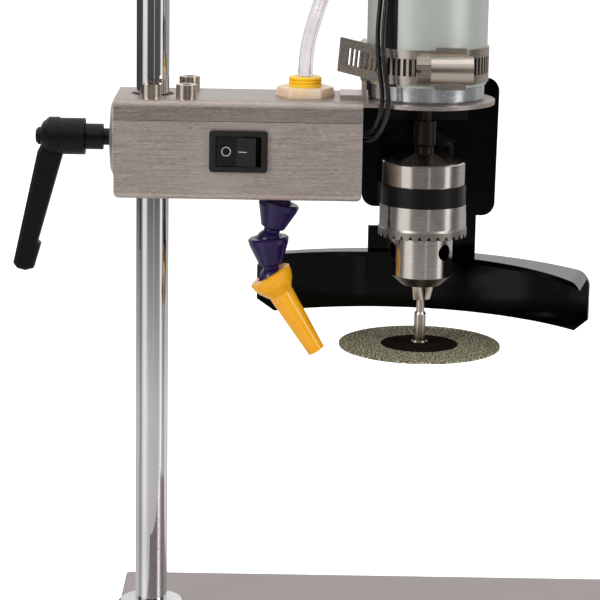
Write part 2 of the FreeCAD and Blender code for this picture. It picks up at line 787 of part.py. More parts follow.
def make_switch():
    middle = f"({ARM_Z} + switch_height)"
    bezel = box("bezel_length", "bezel_depth", "bezel_height",
                (f"{SWITCH_X} - bezel_length / 2", f"{ARM_FRONT} - bezel_depth", f"{middle} - bezel_height / 2"))
    bezel = rounded(bezel, "bezel_corner", lambda edge: along(edge, Y_AXIS))
    case = box("switch_case_length", "switch_case_depth", "switch_case_height",
               (f"{SWITCH_X} - switch_case_length / 2", ARM_FRONT, f"{middle} - switch_case_height / 2"))
    mouth = box("(rocker_half + rocker_room) * 2", "bezel_depth + rocker_well", "rocker_height + rocker_gap * 2",
                (f"{SWITCH_X} - rocker_half - rocker_room", f"{ARM_FRONT} - bezel_depth",
                 f"{middle} - rocker_height / 2 - rocker_gap"))
    node("switch_body", cut(fuse(bezel, case), mouth))
    blades = []
    for shift in ("0 - terminal_shift", "terminal_shift"):
        spot = (f"{SWITCH_X} + {shift} - terminal_width / 2", f"{ARM_FRONT} + switch_case_depth",
                f"{middle} + terminal_rise - terminal_sheet / 2")
        blades.append(box("terminal_width", "terminal_length", "terminal_sheet", spot))
    node("switch_terminals", group(*blades))
    rocker = plate([
        ("0 - rocker_half", "0 - rocker_arm"),
        ("0", "rocker_dip - rocker_arm"),
        ("rocker_half", "0 - rocker_arm"),
        ("rocker_half", "rocker_edge - rocker_arm"),
        ("rocker_waist", "rocker_edge"),
        ("0 - rocker_waist", "rocker_edge"),
        ("0 - rocker_half", "rocker_edge - rocker_arm"),
    ], "rocker_height", (SWITCH_X, f"{ARM_FRONT} - bezel_depth + pivot_depth", f"{middle} - rocker_height / 2"),
        FreeCAD.Rotation(Z_AXIS, -value("rocker_throw")))
    node("switch_rocker", rocker)


def make_power_socket():
    spot = (SOCKET_X, ARM_BACK, LEVER_Z)
    barrel = cylinder("socket_diameter - panel_gap", "socket_depth", spot, "-Y")
    rim = cylinder("socket_flange", "socket_rim", spot, "Y")
    bore = cylinder("socket_bore", "socket_depth", (SOCKET_X, f"{ARM_BACK} + socket_rim", LEVER_Z), "-Y")
    pin = cylinder("socket_pin", "socket_depth", (SOCKET_X, f"{ARM_BACK} + socket_rim - pin_recess", LEVER_Z), "-Y")
    node("power_socket", fuse(cut(fuse(barrel, rim), bore), pin))


def make_inlet():
    hexagon = prism(6, "inlet_hex", "inlet_hex_height", (INLET_X, POLE_Y, ARM_TOP))
    dome = cone("hex_dome_foot", "hex_dome_top", "inlet_hex_height", (INLET_X, POLE_Y, ARM_TOP))
    barb = cylinder("inlet_barb", "inlet_stem", (INLET_X, POLE_Y, f"{ARM_TOP} - inlet_stem"))
    bore = cylinder("hose_bore", "inlet_hex_height + inlet_stem", (INLET_X, POLE_Y, f"{ARM_TOP} - inlet_stem"))
    node("inlet_base", cut(fuse(common(hexagon, dome), barb), bore))
    node("inlet_nut", turned([
        ("hose_bore / 2", "0"),
        ("inlet_nut_diameter / 2", "0"),
        ("inlet_nut_diameter / 2", "inlet_nut_flange"),
        ("inlet_nut_diameter / 2 - inlet_rib", "inlet_nut_flange + inlet_rib / 2"),
        ("inlet_nut_diameter / 2", "inlet_nut_flange + inlet_rib"),
        ("inlet_nut_diameter / 2", "inlet_nut_flange + inlet_rib_pitch"),
        ("inlet_nut_diameter / 2 - inlet_rib", "inlet_nut_flange + inlet_rib_pitch + inlet_rib / 2"),
        ("inlet_nut_diameter / 2", "inlet_nut_flange + inlet_rib_pitch + inlet_rib"),
        ("inlet_nut_diameter / 2", "inlet_nut_height - inlet_nut_step / 2"),
        ("inlet_nut_diameter / 2 - inlet_nut_step", "inlet_nut_height"),
        ("hose_bore / 2", "inlet_nut_height"),
    ], (INLET_X, POLE_Y, f"{ARM_TOP} + inlet_hex_height")))


def outlet_points():
    """Ball centres of the outlet chain and the lean of each link, from its top down."""
    lean = 0.0
    pitch = value("link_pitch")
    leans = []
    centres = [FreeCAD.Vector(value(OUTLET_X), value(POLE_Y), value(f"{ARM_Z} - outlet_drop"))]
    for step in ("0 - link_bend_first", "link_bend_second", "link_bend_nozzle"):
        lean += value(step)
        leans.append(lean)
        angle = math.radians(lean)
        centres.append(centres[-1] + FreeCAD.Vector(math.sin(angle), 0, -math.cos(angle)) * pitch)
    return centres, leans


def hang(item, centre, lean):
    """Place a link on a ball centre with its own Z leaning away from straight down."""
    item.Placement = FreeCAD.Placement(centre, FreeCAD.Rotation(Y_AXIS, -lean))
    return item


def make_outlet():
    flange_z = f"{ARM_Z} - outlet_flange_height"
    ball_z = f"{ARM_Z} - outlet_drop"
    nut_z = f"{ARM_Z} + arm_wall"
    thread = cylinder("outlet_thread", "outlet_stem", (OUTLET_X, POLE_Y, flange_z))
    flange = cylinder("outlet_flange", "outlet_flange_height", (OUTLET_X, POLE_Y, flange_z))
    stub = cylinder("link_throat", "outlet_drop", (OUTLET_X, POLE_Y, ball_z))
    knob = ball("ball_diameter", (OUTLET_X, POLE_Y, ball_z))
    bore = cylinder("link_bore", "outlet_drop * 2 + outlet_stem", (OUTLET_X, POLE_Y, f"{ball_z} - outlet_drop"))
    node("outlet_fitting", cut(fuse(thread, flange, stub, knob), bore))
    nut = prism(6, "outlet_nut", "outlet_nut_height", (OUTLET_X, POLE_Y, nut_z))
    node("outlet_nut", cut(nut, cylinder("outlet_thread", "outlet_nut_height", (OUTLET_X, POLE_Y, nut_z))))

    centres, leans = outlet_points()
    for name, centre, lean in zip(("hose_link_upper", "hose_link_lower"), centres, leans):
        hang(node(name, make_link()), centre, lean)
    hang(node("nozzle", make_nozzle()), centres[2], leans[2])


def make_link():
    """A cup for the ball above, a waist, and a ball below, hanging down its own Z."""
    socket = "(ball_diameter / 2 + ball_gap)"
    cup = turned([
        (f"{socket} - cup_lap", "link_mouth"),
        ("link_cup / 2 - cup_chamfer", "link_mouth"),
        ("link_cup / 2", "link_mouth - cup_chamfer"),
        ("link_cup / 2 - cup_draft", "0 - link_skirt"),
        ("link_neck / 2", "0 - link_shoulder"),
        ("link_throat / 2", "0 - link_step"),
        ("link_throat / 2", "0 - link_stem"),
        ("link_bore / 2", "0 - link_stem"),
        ("link_bore / 2", "0 - link_floor"),
        (f"{socket} - cup_lap", "0 - link_floor"),
    ], ("0", "0", "0"))
    hollow = ball("ball_diameter + ball_gap * 2", ("0", "0", "0"))
    knob = ball("ball_diameter", ("0", "0", "0 - link_pitch"))
    bore = cylinder("link_bore", "link_pitch * 2", ("0", "0", "0 - link_pitch * 2"))
    return cut(fuse(cup, knob), hollow, bore)


def make_nozzle():
    socket = "(ball_diameter / 2 + ball_gap)"
    horn = turned([
        (f"{socket} - cup_lap", "link_mouth"),
        ("nozzle_cup / 2 - cup_chamfer", "link_mouth"),
        ("nozzle_cup / 2", "link_mouth - cup_chamfer"),
        ("nozzle_cup / 2 - cup_draft", "0 - link_skirt"),
        ("nozzle_bowl", "0 - nozzle_bowl_depth"),
        ("nozzle_root / 2", "0 - nozzle_shoulder"),
        ("nozzle_tip / 2", "0 - nozzle_length"),
        ("nozzle_tip / 2 - nozzle_wall", "0 - nozzle_length"),
        ("link_bore / 2", "0 - nozzle_shoulder"),
        ("link_bore / 2", "0 - link_floor"),
        (f"{socket} - cup_lap", "0 - link_floor"),
    ], ("0", "0", "0"))
    hollow = ball("ball_diameter + ball_gap * 2", ("0", "0", "0"))
    return cut(horn, hollow)


def make_motor():
    def at(height):
        return (SPINDLE_X, POLE_Y, f"{ARM_TOP} + {height}")

    can = turned([
        ("front_boss / 2", "0 - front_boss_height"),
        ("front_boss / 2", "0"),
        ("motor_diameter / 2 - can_round", "0"),
        ("motor_diameter / 2", "can_round"),
        ("motor_diameter / 2", "motor_body"),
        ("motor_diameter / 2 - motor_wall", "motor_body"),
        ("motor_diameter / 2 - motor_wall", "motor_wall"),
        ("bearing_diameter / 2", "motor_wall"),
        ("bearing_diameter / 2", "motor_wall - bearing_width"),
        ("shaft_diameter / 2 + shaft_room", "motor_wall - bearing_width"),
        ("shaft_diameter / 2 + shaft_room", "0 - front_boss_height"),
    ], at("0"))
    node("motor_can", can)
    node("motor_sleeve", turned([
        ("motor_diameter / 2", "0"),
        ("motor_diameter / 2 + sleeve_sheet", "0"),
        ("motor_diameter / 2 + sleeve_sheet", "sleeve_height"),
        ("motor_diameter / 2", "sleeve_height"),
    ], at("sleeve_bottom")))
    node("motor_end_cap", turned([
        ("bearing_diameter / 2", "0"),
        ("motor_diameter / 2 - end_step", "0"),
        ("motor_diameter / 2 - end_step", "end_rim"),
        ("motor_diameter / 2 - end_slope", "end_crown"),
        ("bearing_diameter / 2 + hub_wall", "end_crown"),
        ("bearing_diameter / 2 + hub_wall", "motor_end"),
        ("0", "motor_end"),
        ("0", "motor_end - hub_cover"),
        ("bearing_diameter / 2", "motor_end - hub_cover"),
    ], at("motor_body")))
    for name, base in (("front_bearing", "motor_wall - bearing_width"),
                       ("rear_bearing", "motor_body + motor_end - hub_cover - bearing_width")):
        ring = turned([
            ("shaft_diameter / 2 + running_gap", "0"),
            ("bearing_diameter / 2", "0"),
            ("bearing_diameter / 2", "bearing_width"),
            ("shaft_diameter / 2 + running_gap", "bearing_width"),
        ], at(base))
        node(name, ring)
    bore = "(motor_diameter - motor_wall * 2)"
    height = "armature_length + magnet_lap * 2"
    ring = cut(cylinder(bore, height, at("magnet_bottom")),
               cylinder(f"{bore} - magnet_thickness * 2", height, at("magnet_bottom")))
    gap = box("motor_diameter", "magnet_split", height,
              (f"{SPINDLE_X} - motor_diameter / 2", "pole_y - magnet_split / 2", f"{ARM_TOP} + magnet_bottom"))
    node("motor_magnets", cut(ring, gap))
    tabs = []
    for side in ("0 - motor_terminal_shift", "motor_terminal_shift"):
        spot = (f"{SPINDLE_X} + {side} - terminal_width / 2", "pole_y - terminal_sheet / 2",
                f"{ARM_TOP} + motor_body + end_crown")
        tabs.append(box("terminal_width", "terminal_sheet", "motor_terminal_height", spot))
    node("motor_terminals", group(*tabs))
    inside = cylinder(bore, "motor_body", at("running_gap"))
    brush_z = f"{ARM_TOP} + motor_body - brush_drop"
    brush_start = "(commutator_diameter / 2 + running_gap)"
    holder_start = f"({bore} / 2 - brush_holder_length)"
    brushes = []
    for sign, turn in (("+", "X"), ("-", "-X")):
        brushes.append(cylinder("brush_diameter", f"{holder_start} - {brush_start}",
                                (f"{SPINDLE_X} {sign} {brush_start}", POLE_Y, brush_z), turn))
        brushes.append(common(inside, cylinder("brush_holder", "brush_holder_length",
                                               (f"{SPINDLE_X} {sign} {holder_start}", POLE_Y, brush_z), turn)))
    node("motor_brushes", group(*brushes))


def make_motor_strap():
    """The upright tab beside the motor and the worm clamp around both."""
    tab_x = f"({SPINDLE_X} - motor_diameter / 2 - sleeve_sheet - tab_sheet)"
    node("motor_tab", fuse(
        box("tab_sheet", "tab_width", "tab_height", (tab_x, "pole_y - tab_width / 2", ARM_TOP)),
        box("tab_foot", "tab_width", "tab_sheet", (f"{tab_x} - tab_foot", "pole_y - tab_width / 2", ARM_TOP))))

    inner = "(motor_diameter + sleeve_sheet * 2)"
    z = f"({ARM_TOP} + band_bottom)"
    hoop = cut(cylinder(f"{inner} + band_sheet * 2", "band_height", (SPINDLE_X, POLE_Y, z)),
               cylinder(inner, "band_height", (SPINDLE_X, POLE_Y, z)))
    shoulder = cut(
        box("motor_diameter / 2", "tab_width + band_sheet * 2", "band_height",
            (f"{tab_x} - band_sheet", "pole_y - tab_width / 2 - band_sheet", z)),
        box("motor_diameter / 2", "tab_width", "band_height",
            (tab_x, "pole_y - tab_width / 2", z)),
        cylinder(inner, "band_height", (SPINDLE_X, POLE_Y, z)))
    way = box("tab_sheet + motor_diameter / 4", "tab_width", "band_height", (tab_x, "pole_y - tab_width / 2", z))
    slots = []
    for angle, x, y in around(int(value("band_slots")), value(f"{inner} / 2 - band_sheet * 4")):
        slotted = value("slots_from") < angle < value("slots_to")
        if not slotted or value("worm_from") < angle < value("worm_to"):
            continue
        spot = (f"{SPINDLE_X} + {x:.4f}", f"{POLE_Y} + {y:.4f}", f"{z} + band_slot_margin")
        slots.append(box("band_sheet * 8", "band_slot_width", "band_height - band_slot_margin * 2", spot,
                         FreeCAD.Rotation(Z_AXIS, angle)))
    node("clamp_band", cut(fuse(cut(hoop, way), shoulder, tail_strip(z)), *slots))

    middle = f"({z} + band_height / 2)"
    front = "(pole_y - motor_diameter / 2 - sleeve_sheet - band_sheet * 2)"
    axis_y = f"({front} - worm_diameter / 2)"
    start = f"({SPINDLE_X} + worm_shift - worm_length / 2)"
    tube = cylinder("worm_diameter + worm_wall * 2", "worm_length", (start, axis_y, middle), "X")
    hollow = cylinder("worm_diameter + running_gap * 2", "worm_length", (start, axis_y, middle), "X")
    foot = box("worm_foot", "worm_diameter / 2 + worm_wall + band_sheet", "band_height + worm_foot_lap * 2",
               (f"{start} + (worm_length - worm_foot) / 2", f"{axis_y} + worm_diameter / 2", f"{z} - worm_foot_lap"))
    hoop_way = cylinder(f"{inner} + band_sheet * 2", "band_height * 2", (SPINDLE_X, POLE_Y, f"{z} - band_height / 2"))
    node("worm_housing", cut(fuse(tube, foot), hollow, hoop_way))
    worm = cylinder("worm_diameter", "worm_length", (start, axis_y, middle), "X")
    head = prism(6, "worm_head", "worm_head_length", (start, axis_y, middle), "-X")
    slot = box("worm_slot_depth", "worm_head * 2", "worm_slot_width",
               (f"{start} - worm_head_length", f"{axis_y} - worm_head", f"{middle} - worm_slot_width / 2"))
    node("worm_screw", cut(fuse(worm, head), slot))


def tail_strip(z):
    """The band's loose end, leaving the hoop on a tangent to the left of the motor's front and rising a little."""
    radius = "(motor_diameter / 2 + sleeve_sheet)"
    turn = FreeCAD.Rotation(Z_AXIS, value("tail_angle") - 90) * FreeCAD.Rotation(Y_AXIS, 0 - value("tail_tilt"))

    def on_tail(step, rise, out):
        along = f"(({step}) * cos(tail_tilt) - ({rise}) * sin(tail_tilt))"
        x = f"{SPINDLE_X} + ({radius} + {out}) * cos(tail_angle) + {along} * sin(tail_angle)"
        y = f"{POLE_Y} + ({radius} + {out}) * sin(tail_angle) - {along} * cos(tail_angle)"
        return x, y, f"{z} + ({step}) * sin(tail_tilt) + ({rise}) * cos(tail_tilt)"

    strip = box("band_tail", "band_sheet", "band_height", on_tail("0", "0", "band_sheet / 4"), turn)
    slots = []
    for step in range(int(value("tail_slots"))):
        start = f"band_tail - tail_margin - {step} * tail_slot_pitch"
        slots.append(box("band_slot_width", "band_sheet * 3", "band_height - band_slot_margin * 2",
                         on_tail(start, "band_slot_margin", "0 - band_sheet"), turn))
    return cut(strip, *slots)


def make_guard():
    plane = "(pole_y + guard_plane)"
    upright = FreeCAD.Rotation(X_AXIS, 90)
    back = f"{plane} + guard_sheet"
    panel = plate([
        ("0 - guard_left", "guard_top"),
        ("guard_right", "guard_top"),
        ("guard_right - guard_taper", "0 - guard_drop - guard_skew"),
        ("neck_right", "0 - guard_drop - guard_skew"),
        ("neck_right", "0 - visor_top_drop - visor_height / 2"),
        ("0 - neck_left - neck_step", "0 - visor_top_drop - visor_height / 2"),
        ("0 - neck_left - neck_step", "0 - neck_drop"),
        ("0 - neck_left", "0 - neck_drop"),
        ("0 - neck_left", "0 - guard_drop"),
        ("0 - guard_left", "0 - guard_drop"),
    ], "guard_sheet", (SPINDLE_X, back, ARM_TOP), upright)
    doc.recompute()
    levels = [value(f"{ARM_TOP} {level}") for level in ("+ guard_top", "- guard_drop", "- guard_drop - guard_skew")]
    sides = (value(f"{SPINDLE_X} - guard_left"), value(f"{SPINDLE_X} + guard_right - guard_taper"))

    def outer_corner(edge):
        at = edge.CenterOfMass
        level = min(abs(at.z - height) for height in levels) < 1e-6
        outside = at.x < sides[0] + 1e-6 or at.x > sides[1] - 1e-6
        return along(edge, Y_AXIS) and level and outside

    panel = rounded(panel, "guard_corner", outer_corner)
    bolt_z = f"({PLATE_Z} - bolt_drop)"
    spots = [f"({SPINDLE_X} {sign} bolt_shift)" for sign in "-+"]
    ways = [cylinder("bolt_size", "bracket_leg * 2", (x, f"{plane} - bracket_leg", bolt_z), "Y") for x in spots]
    node("splash_guard", cut(fuse(panel, make_visor(plane)), *ways))
    bracket_z = f"{PLATE_Z} - bracket_sheet"
    bracket = fuse(
        box("bracket_width", "bracket_leg", "bracket_sheet",
            (f"{SPINDLE_X} - bracket_width / 2", f"{plane} - bracket_leg", bracket_z)),
        box("bracket_width", "bracket_sheet", "bracket_leg",
            (f"{SPINDLE_X} - bracket_width / 2", f"{plane} - bracket_sheet", f"{PLATE_Z} - bracket_leg")))
    node("guard_bracket", cut(bracket, *ways))
    bolts = []
    for x in spots:
        head = turned([
            ("0", "0"),
            ("bolt_head / 2", "0"),
            ("bolt_head / 2 - bolt_round", "bolt_head_height - bolt_round"),
            ("0", "bolt_head_height"),
        ], (x, back, bolt_z), "Y")
        shank = cylinder("bolt_size", "guard_sheet + bracket_sheet + bolt_spare", (x, back, bolt_z), "-Y")
        nut = prism(6, "bolt_nut", "bolt_nut_height", (x, f"{plane} - bracket_sheet", bolt_z), "-Y")
        bolts.append(fuse(head, shank, nut))
    node("guard_screws", group(*bolts))


def make_visor(plane):
    """The curved splash wall and its inward lip, turned a little about the plate."""
    top = f"({ARM_TOP} - visor_top_drop)"
    low = "0 - visor_height"
    wall = cut(
        cylinder("visor_radius * 2", "visor_height", ("0", "0 - visor_radius", low)),
        cylinder("visor_radius * 2 - guard_sheet * 2", "visor_height", ("0", "0 - visor_radius", low)))
    lip = cut(
        cylinder("visor_radius * 2", "guard_sheet", ("0", "0 - visor_radius", "0 - guard_sheet")),
        cylinder("lip_inner * 2", "guard_sheet", ("0 - lip_shift", "0 - visor_radius", "0 - guard_sheet")))
    block = box("visor_half * 2", "visor_radius", "visor_height", ("0 - visor_half", "0 - visor_radius", low))
    span = rounded(block, "visor_round", lambda edge: along(edge, Y_AXIS) and abs(edge.CenterOfMass.z) < 1e-6)
    corners = []
    for side in ("0 - visor_half", "visor_half"):
        across = "visor_chamfer * sqrt(2)"
        corners.append(box(across, "visor_radius * 2", across,
                           (side, "0 - visor_radius * 1.5", f"{low} - visor_chamfer"), FreeCAD.Rotation(Y_AXIS, -45)))
    visor = cut(common(fuse(wall, lip), span), *corners)
    turn = FreeCAD.Rotation(Z_AXIS, -value("visor_yaw"))
    return place(visor, (f"{SPINDLE_X} + visor_shift", f"{plane} + guard_sheet", top), turn)


def make_spindle():
    top = f"{ARM_TOP} + motor_body + motor_end - hub_cover - running_gap"
    foot = f"{PLATE_Z} - adapter_top - adapter_length + adapter_floor"
    node("motor_shaft", cylinder("shaft_diameter", f"({top}) - ({foot})", (SPINDLE_X, POLE_Y, foot)))
    core = "(motor_diameter - motor_wall * 2 - magnet_thickness * 2 - armature_gap * 2)"
    stack_z = f"{ARM_TOP} + magnet_bottom + magnet_lap"
    stack = cylinder(core, "armature_length", (SPINDLE_X, POLE_Y, stack_z))
    slots = [cylinder("shaft_diameter", "armature_length", (SPINDLE_X, POLE_Y, stack_z))]
    floor = value(f"{core} / 2 - armature_slot_depth")
    for angle, x, y in around(int(value("armature_slots")), floor):
        slots.append(box("armature_slot_depth * 2", "armature_slot", "armature_length",
                         (f"{SPINDLE_X} + {x:.4f}", f"{POLE_Y} + {y:.4f}", stack_z),
                         FreeCAD.Rotation(Z_AXIS, angle)))
    node("armature", cut(stack, *slots))
    drum_z = f"{ARM_TOP} + motor_body - commutator_length"
    node("commutator", cut(
        cylinder("commutator_diameter", "commutator_length", (SPINDLE_X, POLE_Y, drum_z)),
        cylinder("shaft_diameter", "commutator_length", (SPINDLE_X, POLE_Y, drum_z))))

    node("shaft_adapter", turned([
        ("shaft_diameter / 2", "0"),
        ("adapter_diameter / 2", "0"),
        ("adapter_diameter / 2", "0 - adapter_length"),
        ("adapter_neck / 2", "0 - adapter_length - adapter_chamfer"),
        ("adapter_neck / 2", "adapter_top - chuck_drop - adapter_stub"),
        ("0", "adapter_top - chuck_drop - adapter_stub"),
        ("0", "adapter_floor - adapter_length"),
        ("shaft_diameter / 2", "adapter_floor - adapter_length"),
    ], (SPINDLE_X, POLE_Y, f"{PLATE_Z} - adapter_top")))

    ring = "chuck_ring / 2"
    neck = "(chuck_neck / 2)"
    body = turned([
        ("adapter_neck / 2", "0"),
        ("chuck_taper / 2", "0"),
        (f"{ring} - ring_chamfer", "0 - chuck_ring_top"),
        (ring, "0 - chuck_ring_top - ring_chamfer"),
        (ring, "0 - chuck_ring_bottom"),
        (neck, "0 - chuck_ring_bottom"),
        (neck, "nut_shoulder - nut_top"),
        ("chuck_waist / 2", "nut_shoulder - nut_top"),
        ("chuck_waist / 2", "nut_play - nut_top"),
        ("chuck_groove / 2", "nut_play - nut_top"),
        ("chuck_groove / 2", "0 - nut_top - nut_height - nut_play"),
        ("chuck_waist / 2", "0 - nut_top - nut_height - nut_play"),
        ("chuck_waist / 2", "teeth_root - teeth_bottom"),
        ("nose_diameter / 2", "teeth_root - teeth_bottom"),
        ("nose_diameter / 2", "0 - nose_bottom"),
        ("nose_tip_diameter / 2", "0 - nose_tip"),
        ("chuck_bore / 2", "0 - nose_tip"),
        ("chuck_bore / 2", "0 - adapter_stub - bore_cone"),
        ("adapter_neck / 2", "0 - adapter_stub"),
    ], (SPINDLE_X, POLE_Y, CHUCK_Z))
    ways = [jaw_rod(angle, "jaw_diameter + jaw_gap * 2", "jaw_tip + jaw_spare", "jaw_top - jaw_room")
            for angle, _, _ in around(3, 1, value("jaw_turn"))]
    holes = []
    for angle, x, y in around(3, value("nose_diameter / 2"), value("key_hole_turn")):
        spot = (f"{SPINDLE_X} + {x:.4f}", f"{POLE_Y} + {y:.4f}", f"{CHUCK_Z} - key_hole_drop")
        turn = FreeCAD.Rotation(Z_AXIS, angle) * FreeCAD.Rotation(Y_AXIS, -90)
        holes.append(cylinder("key_hole", "key_hole_depth", spot, turn))
    node("chuck_body", cut(body, *ways, *holes))


def jaw_rod(angle, diameter, low, high):
    """A rod on a jaw's leaning axis, between two drops below the chuck's top."""
    lean = math.radians(value("jaw_angle"))
    foot = value(low)
    out = value("jaw_offset") - (foot - value("nose_tip")) * math.tan(lean)
    turn = math.radians(angle)
    spot = (f"{SPINDLE_X} + {out * math.cos(turn):.5f}", f"{POLE_Y} + {out * math.sin(turn):.5f}",
            f"{CHUCK_Z} - ({low})")
    rotation = FreeCAD.Rotation(Z_AXIS, angle) * FreeCAD.Rotation(Y_AXIS, value("jaw_angle"))
    return cylinder(diameter, f"(({low}) - ({high})) / cos(jaw_angle)", spot, rotation)


def make_jaws():
    for number, (angle, x, y) in enumerate(around(3, 1, value("jaw_turn")), start=1):
        rod = jaw_rod(angle, "jaw_diameter", "jaw_tip + jaw_spare", "jaw_top")
        turn = FreeCAD.Rotation(Z_AXIS, angle)
        gap = value("shank_diameter / 2 + shank_gap")
        half = value("chuck_ring / 2")
        corner = turn.multVec(FreeCAD.Vector(gap, -half, 0))
        flank = box("chuck_ring", "chuck_ring", "jaw_tip",
                    (f"{SPINDLE_X} + {corner.x:.5f}", f"{POLE_Y} + {corner.y:.5f}", f"{CHUCK_Z} - jaw_tip"), turn)
        tip = turned([
            ("0", "0"),
            ("jaw_nose", "0"),
            ("jaw_flare", "jaw_flare_height"),
            ("chuck_ring / 2", "jaw_shoulder"),
            ("chuck_ring / 2", "jaw_tip"),
            ("0", "jaw_tip"),
        ], (SPINDLE_X, POLE_Y, f"{CHUCK_Z} - jaw_tip"))
        node(f"jaw_{number}", common(rod, flank, tip))


def make_sleeve():
    inner = "(chuck_neck / 2 + sleeve_bore_gap)"
    ring_top = "(0 - chuck_ring_bottom - sleeve_top_gap)"
    sleeve = turned([
        (inner, ring_top),
        ("sleeve_diameter / 2 - sleeve_step", ring_top),
        ("sleeve_diameter / 2 - sleeve_step", f"{ring_top} - sleeve_band"),
        ("sleeve_diameter / 2", f"{ring_top} - sleeve_band"),
        ("sleeve_diameter / 2", "0 - teeth_top"),
        ("teeth_diameter / 2", "0 - teeth_top - teeth_chamfer"),
        ("teeth_diameter / 2", "0 - teeth_bottom"),
        ("nose_diameter / 2 + sleeve_bore_gap", "0 - teeth_bottom"),
        ("nose_diameter / 2 + sleeve_bore_gap", "sleeve_foot - teeth_bottom"),
        (inner, "sleeve_foot - teeth_bottom"),
    ], (SPINDLE_X, POLE_Y, CHUCK_Z))
    gaps = []
    for angle, x, y in around(int(value("teeth_count")), value("teeth_diameter / 2 - teeth_inset")):
        turn = FreeCAD.Rotation(Z_AXIS, angle + 180) * FreeCAD.Rotation(Y_AXIS, -90)
        spot = (f"{SPINDLE_X} + {x:.4f}", f"{POLE_Y} + {y:.4f}", f"{CHUCK_Z} - teeth_bottom + tooth_rise - tooth_notch")
        gaps.append(prism(3, "tooth_notch", "teeth_depth", spot, turn))
    node("chuck_sleeve", cut(sleeve, *gaps))
    node("chuck_band", turned([
        ("sleeve_diameter / 2 - sleeve_step", ring_top),
        ("sleeve_diameter / 2 - band_sink", ring_top),
        ("sleeve_diameter / 2 - band_sink", f"{ring_top} - sleeve_band"),
        ("sleeve_diameter / 2 - sleeve_step", f"{ring_top} - sleeve_band"),
    ], (SPINDLE_X, POLE_Y, CHUCK_Z)))
    half = turned([
        ("chuck_groove / 2 + sleeve_bore_gap", "0 - nut_top"),
        (inner, "0 - nut_top"),
        (inner, "0 - nut_top - nut_height"),
        ("chuck_groove / 2 + sleeve_bore_gap", "0 - nut_top - nut_height"),
    ], (SPINDLE_X, POLE_Y, CHUCK_Z))
    kerf = box("sleeve_diameter", "nut_kerf", "nut_height * 2",
               (f"{SPINDLE_X} - sleeve_diameter / 2", "pole_y - nut_kerf / 2", f"{CHUCK_Z} - nut_top - nut_height * 1.5"))
    node("chuck_nut", cut(half, kerf))


def make_disc():
    disc_z = f"({CHUCK_Z} - mandrel_bottom - disc_thickness)"
    node("mandrel", cut(turned([
        ("0", "0 - shank_top"),
        ("shank_diameter / 2", "0 - shank_top"),
        ("shank_diameter / 2", "0 - shank_bottom"),
        ("mandrel_diameter / 2 - shank_step / 2", "0 - shank_bottom"),
        ("mandrel_diameter / 2", "0 - shank_bottom - shank_step"),
        ("mandrel_diameter / 2", "collar_height - mandrel_bottom"),
        ("collar_diameter / 2", "collar_rim - mandrel_bottom"),
        ("collar_diameter / 2", "0 - mandrel_bottom"),
        ("0", "0 - mandrel_bottom"),
    ], (SPINDLE_X, POLE_Y, CHUCK_Z)),
        cylinder("disc_screw_shank", "disc_screw_depth + disc_screw_room",
                 (SPINDLE_X, POLE_Y, f"{CHUCK_Z} - mandrel_bottom"))))
    node("cutting_disc", cut(
        cylinder("disc_diameter", "disc_thickness", (SPINDLE_X, POLE_Y, disc_z)),
        cylinder("disc_bore", "disc_thickness", (SPINDLE_X, POLE_Y, disc_z))))
    head = cone("disc_screw_foot", "disc_screw_head", "disc_screw_height",
                (SPINDLE_X, POLE_Y, f"{disc_z} - disc_screw_height"))
    shank = cylinder("disc_screw_shank", "disc_thickness + disc_screw_depth", (SPINDLE_X, POLE_Y, disc_z))
    slot = box("collar_diameter", "disc_slot_width", "disc_slot_depth",
               (f"{SPINDLE_X} - collar_diameter / 2", "pole_y - disc_slot_width / 2",
                f"{disc_z} - disc_screw_height"))
    node("disc_screw", cut(fuse(head, shank), slot))


def smooth_path(points):
    """Straight runs joined by tangent arcs, and the smallest radius among them."""
    edges = []
    radii = []
    start = points[0]
    for before, corner, after in zip(points, points[1:], points[2:]):
        inward = (corner - before).normalize()
        outward = (after - corner).normalize()
        turn = inward.getAngle(outward)
        reach = 0.45 * min((corner - before).Length, (after - corner).Length)
        radii.append(reach / math.tan(turn / 2))
        first = corner - inward * reach
        last = corner + outward * reach
        middle = corner + (outward - inward).normalize() * radii[-1] * (1 / math.cos(turn / 2) - 1)
        edges.append(Part.LineSegment(start, first).toShape())
        edges.append(Part.Arc(first, middle, last).toShape())
        start = last
    edges.append(Part.LineSegment(start, points[-1]).toShape())
    return Part.Wire(edges), min(radii)


def tube(name, diameter, route):
    """A round tube along a route given from the arm's right end, on the pole's row, at the arm's top."""
    origin = FreeCAD.Vector(value(ARM_RIGHT), value(POLE_Y), value(ARM_TOP))
    path, tightest = smooth_path([origin + FreeCAD.Vector(*point) for point in route])
    first = path.Edges[0]
    start = first.valueAt(first.FirstParameter)
    circle = Part.Circle(start, first.tangentAt(first.FirstParameter), diameter / 2)
    shape = path.makePipeShell([Part.Wire(circle.toShape())], True, False)
    section = math.pi * diameter ** 2 / 4
    print(f"{name}: length {path.Length:.1f}, tightest radius {tightest:.1f}, "
          f"volume over section times length {shape.Volume / section / path.Length:.4f}")
    return shaped(name, shape)


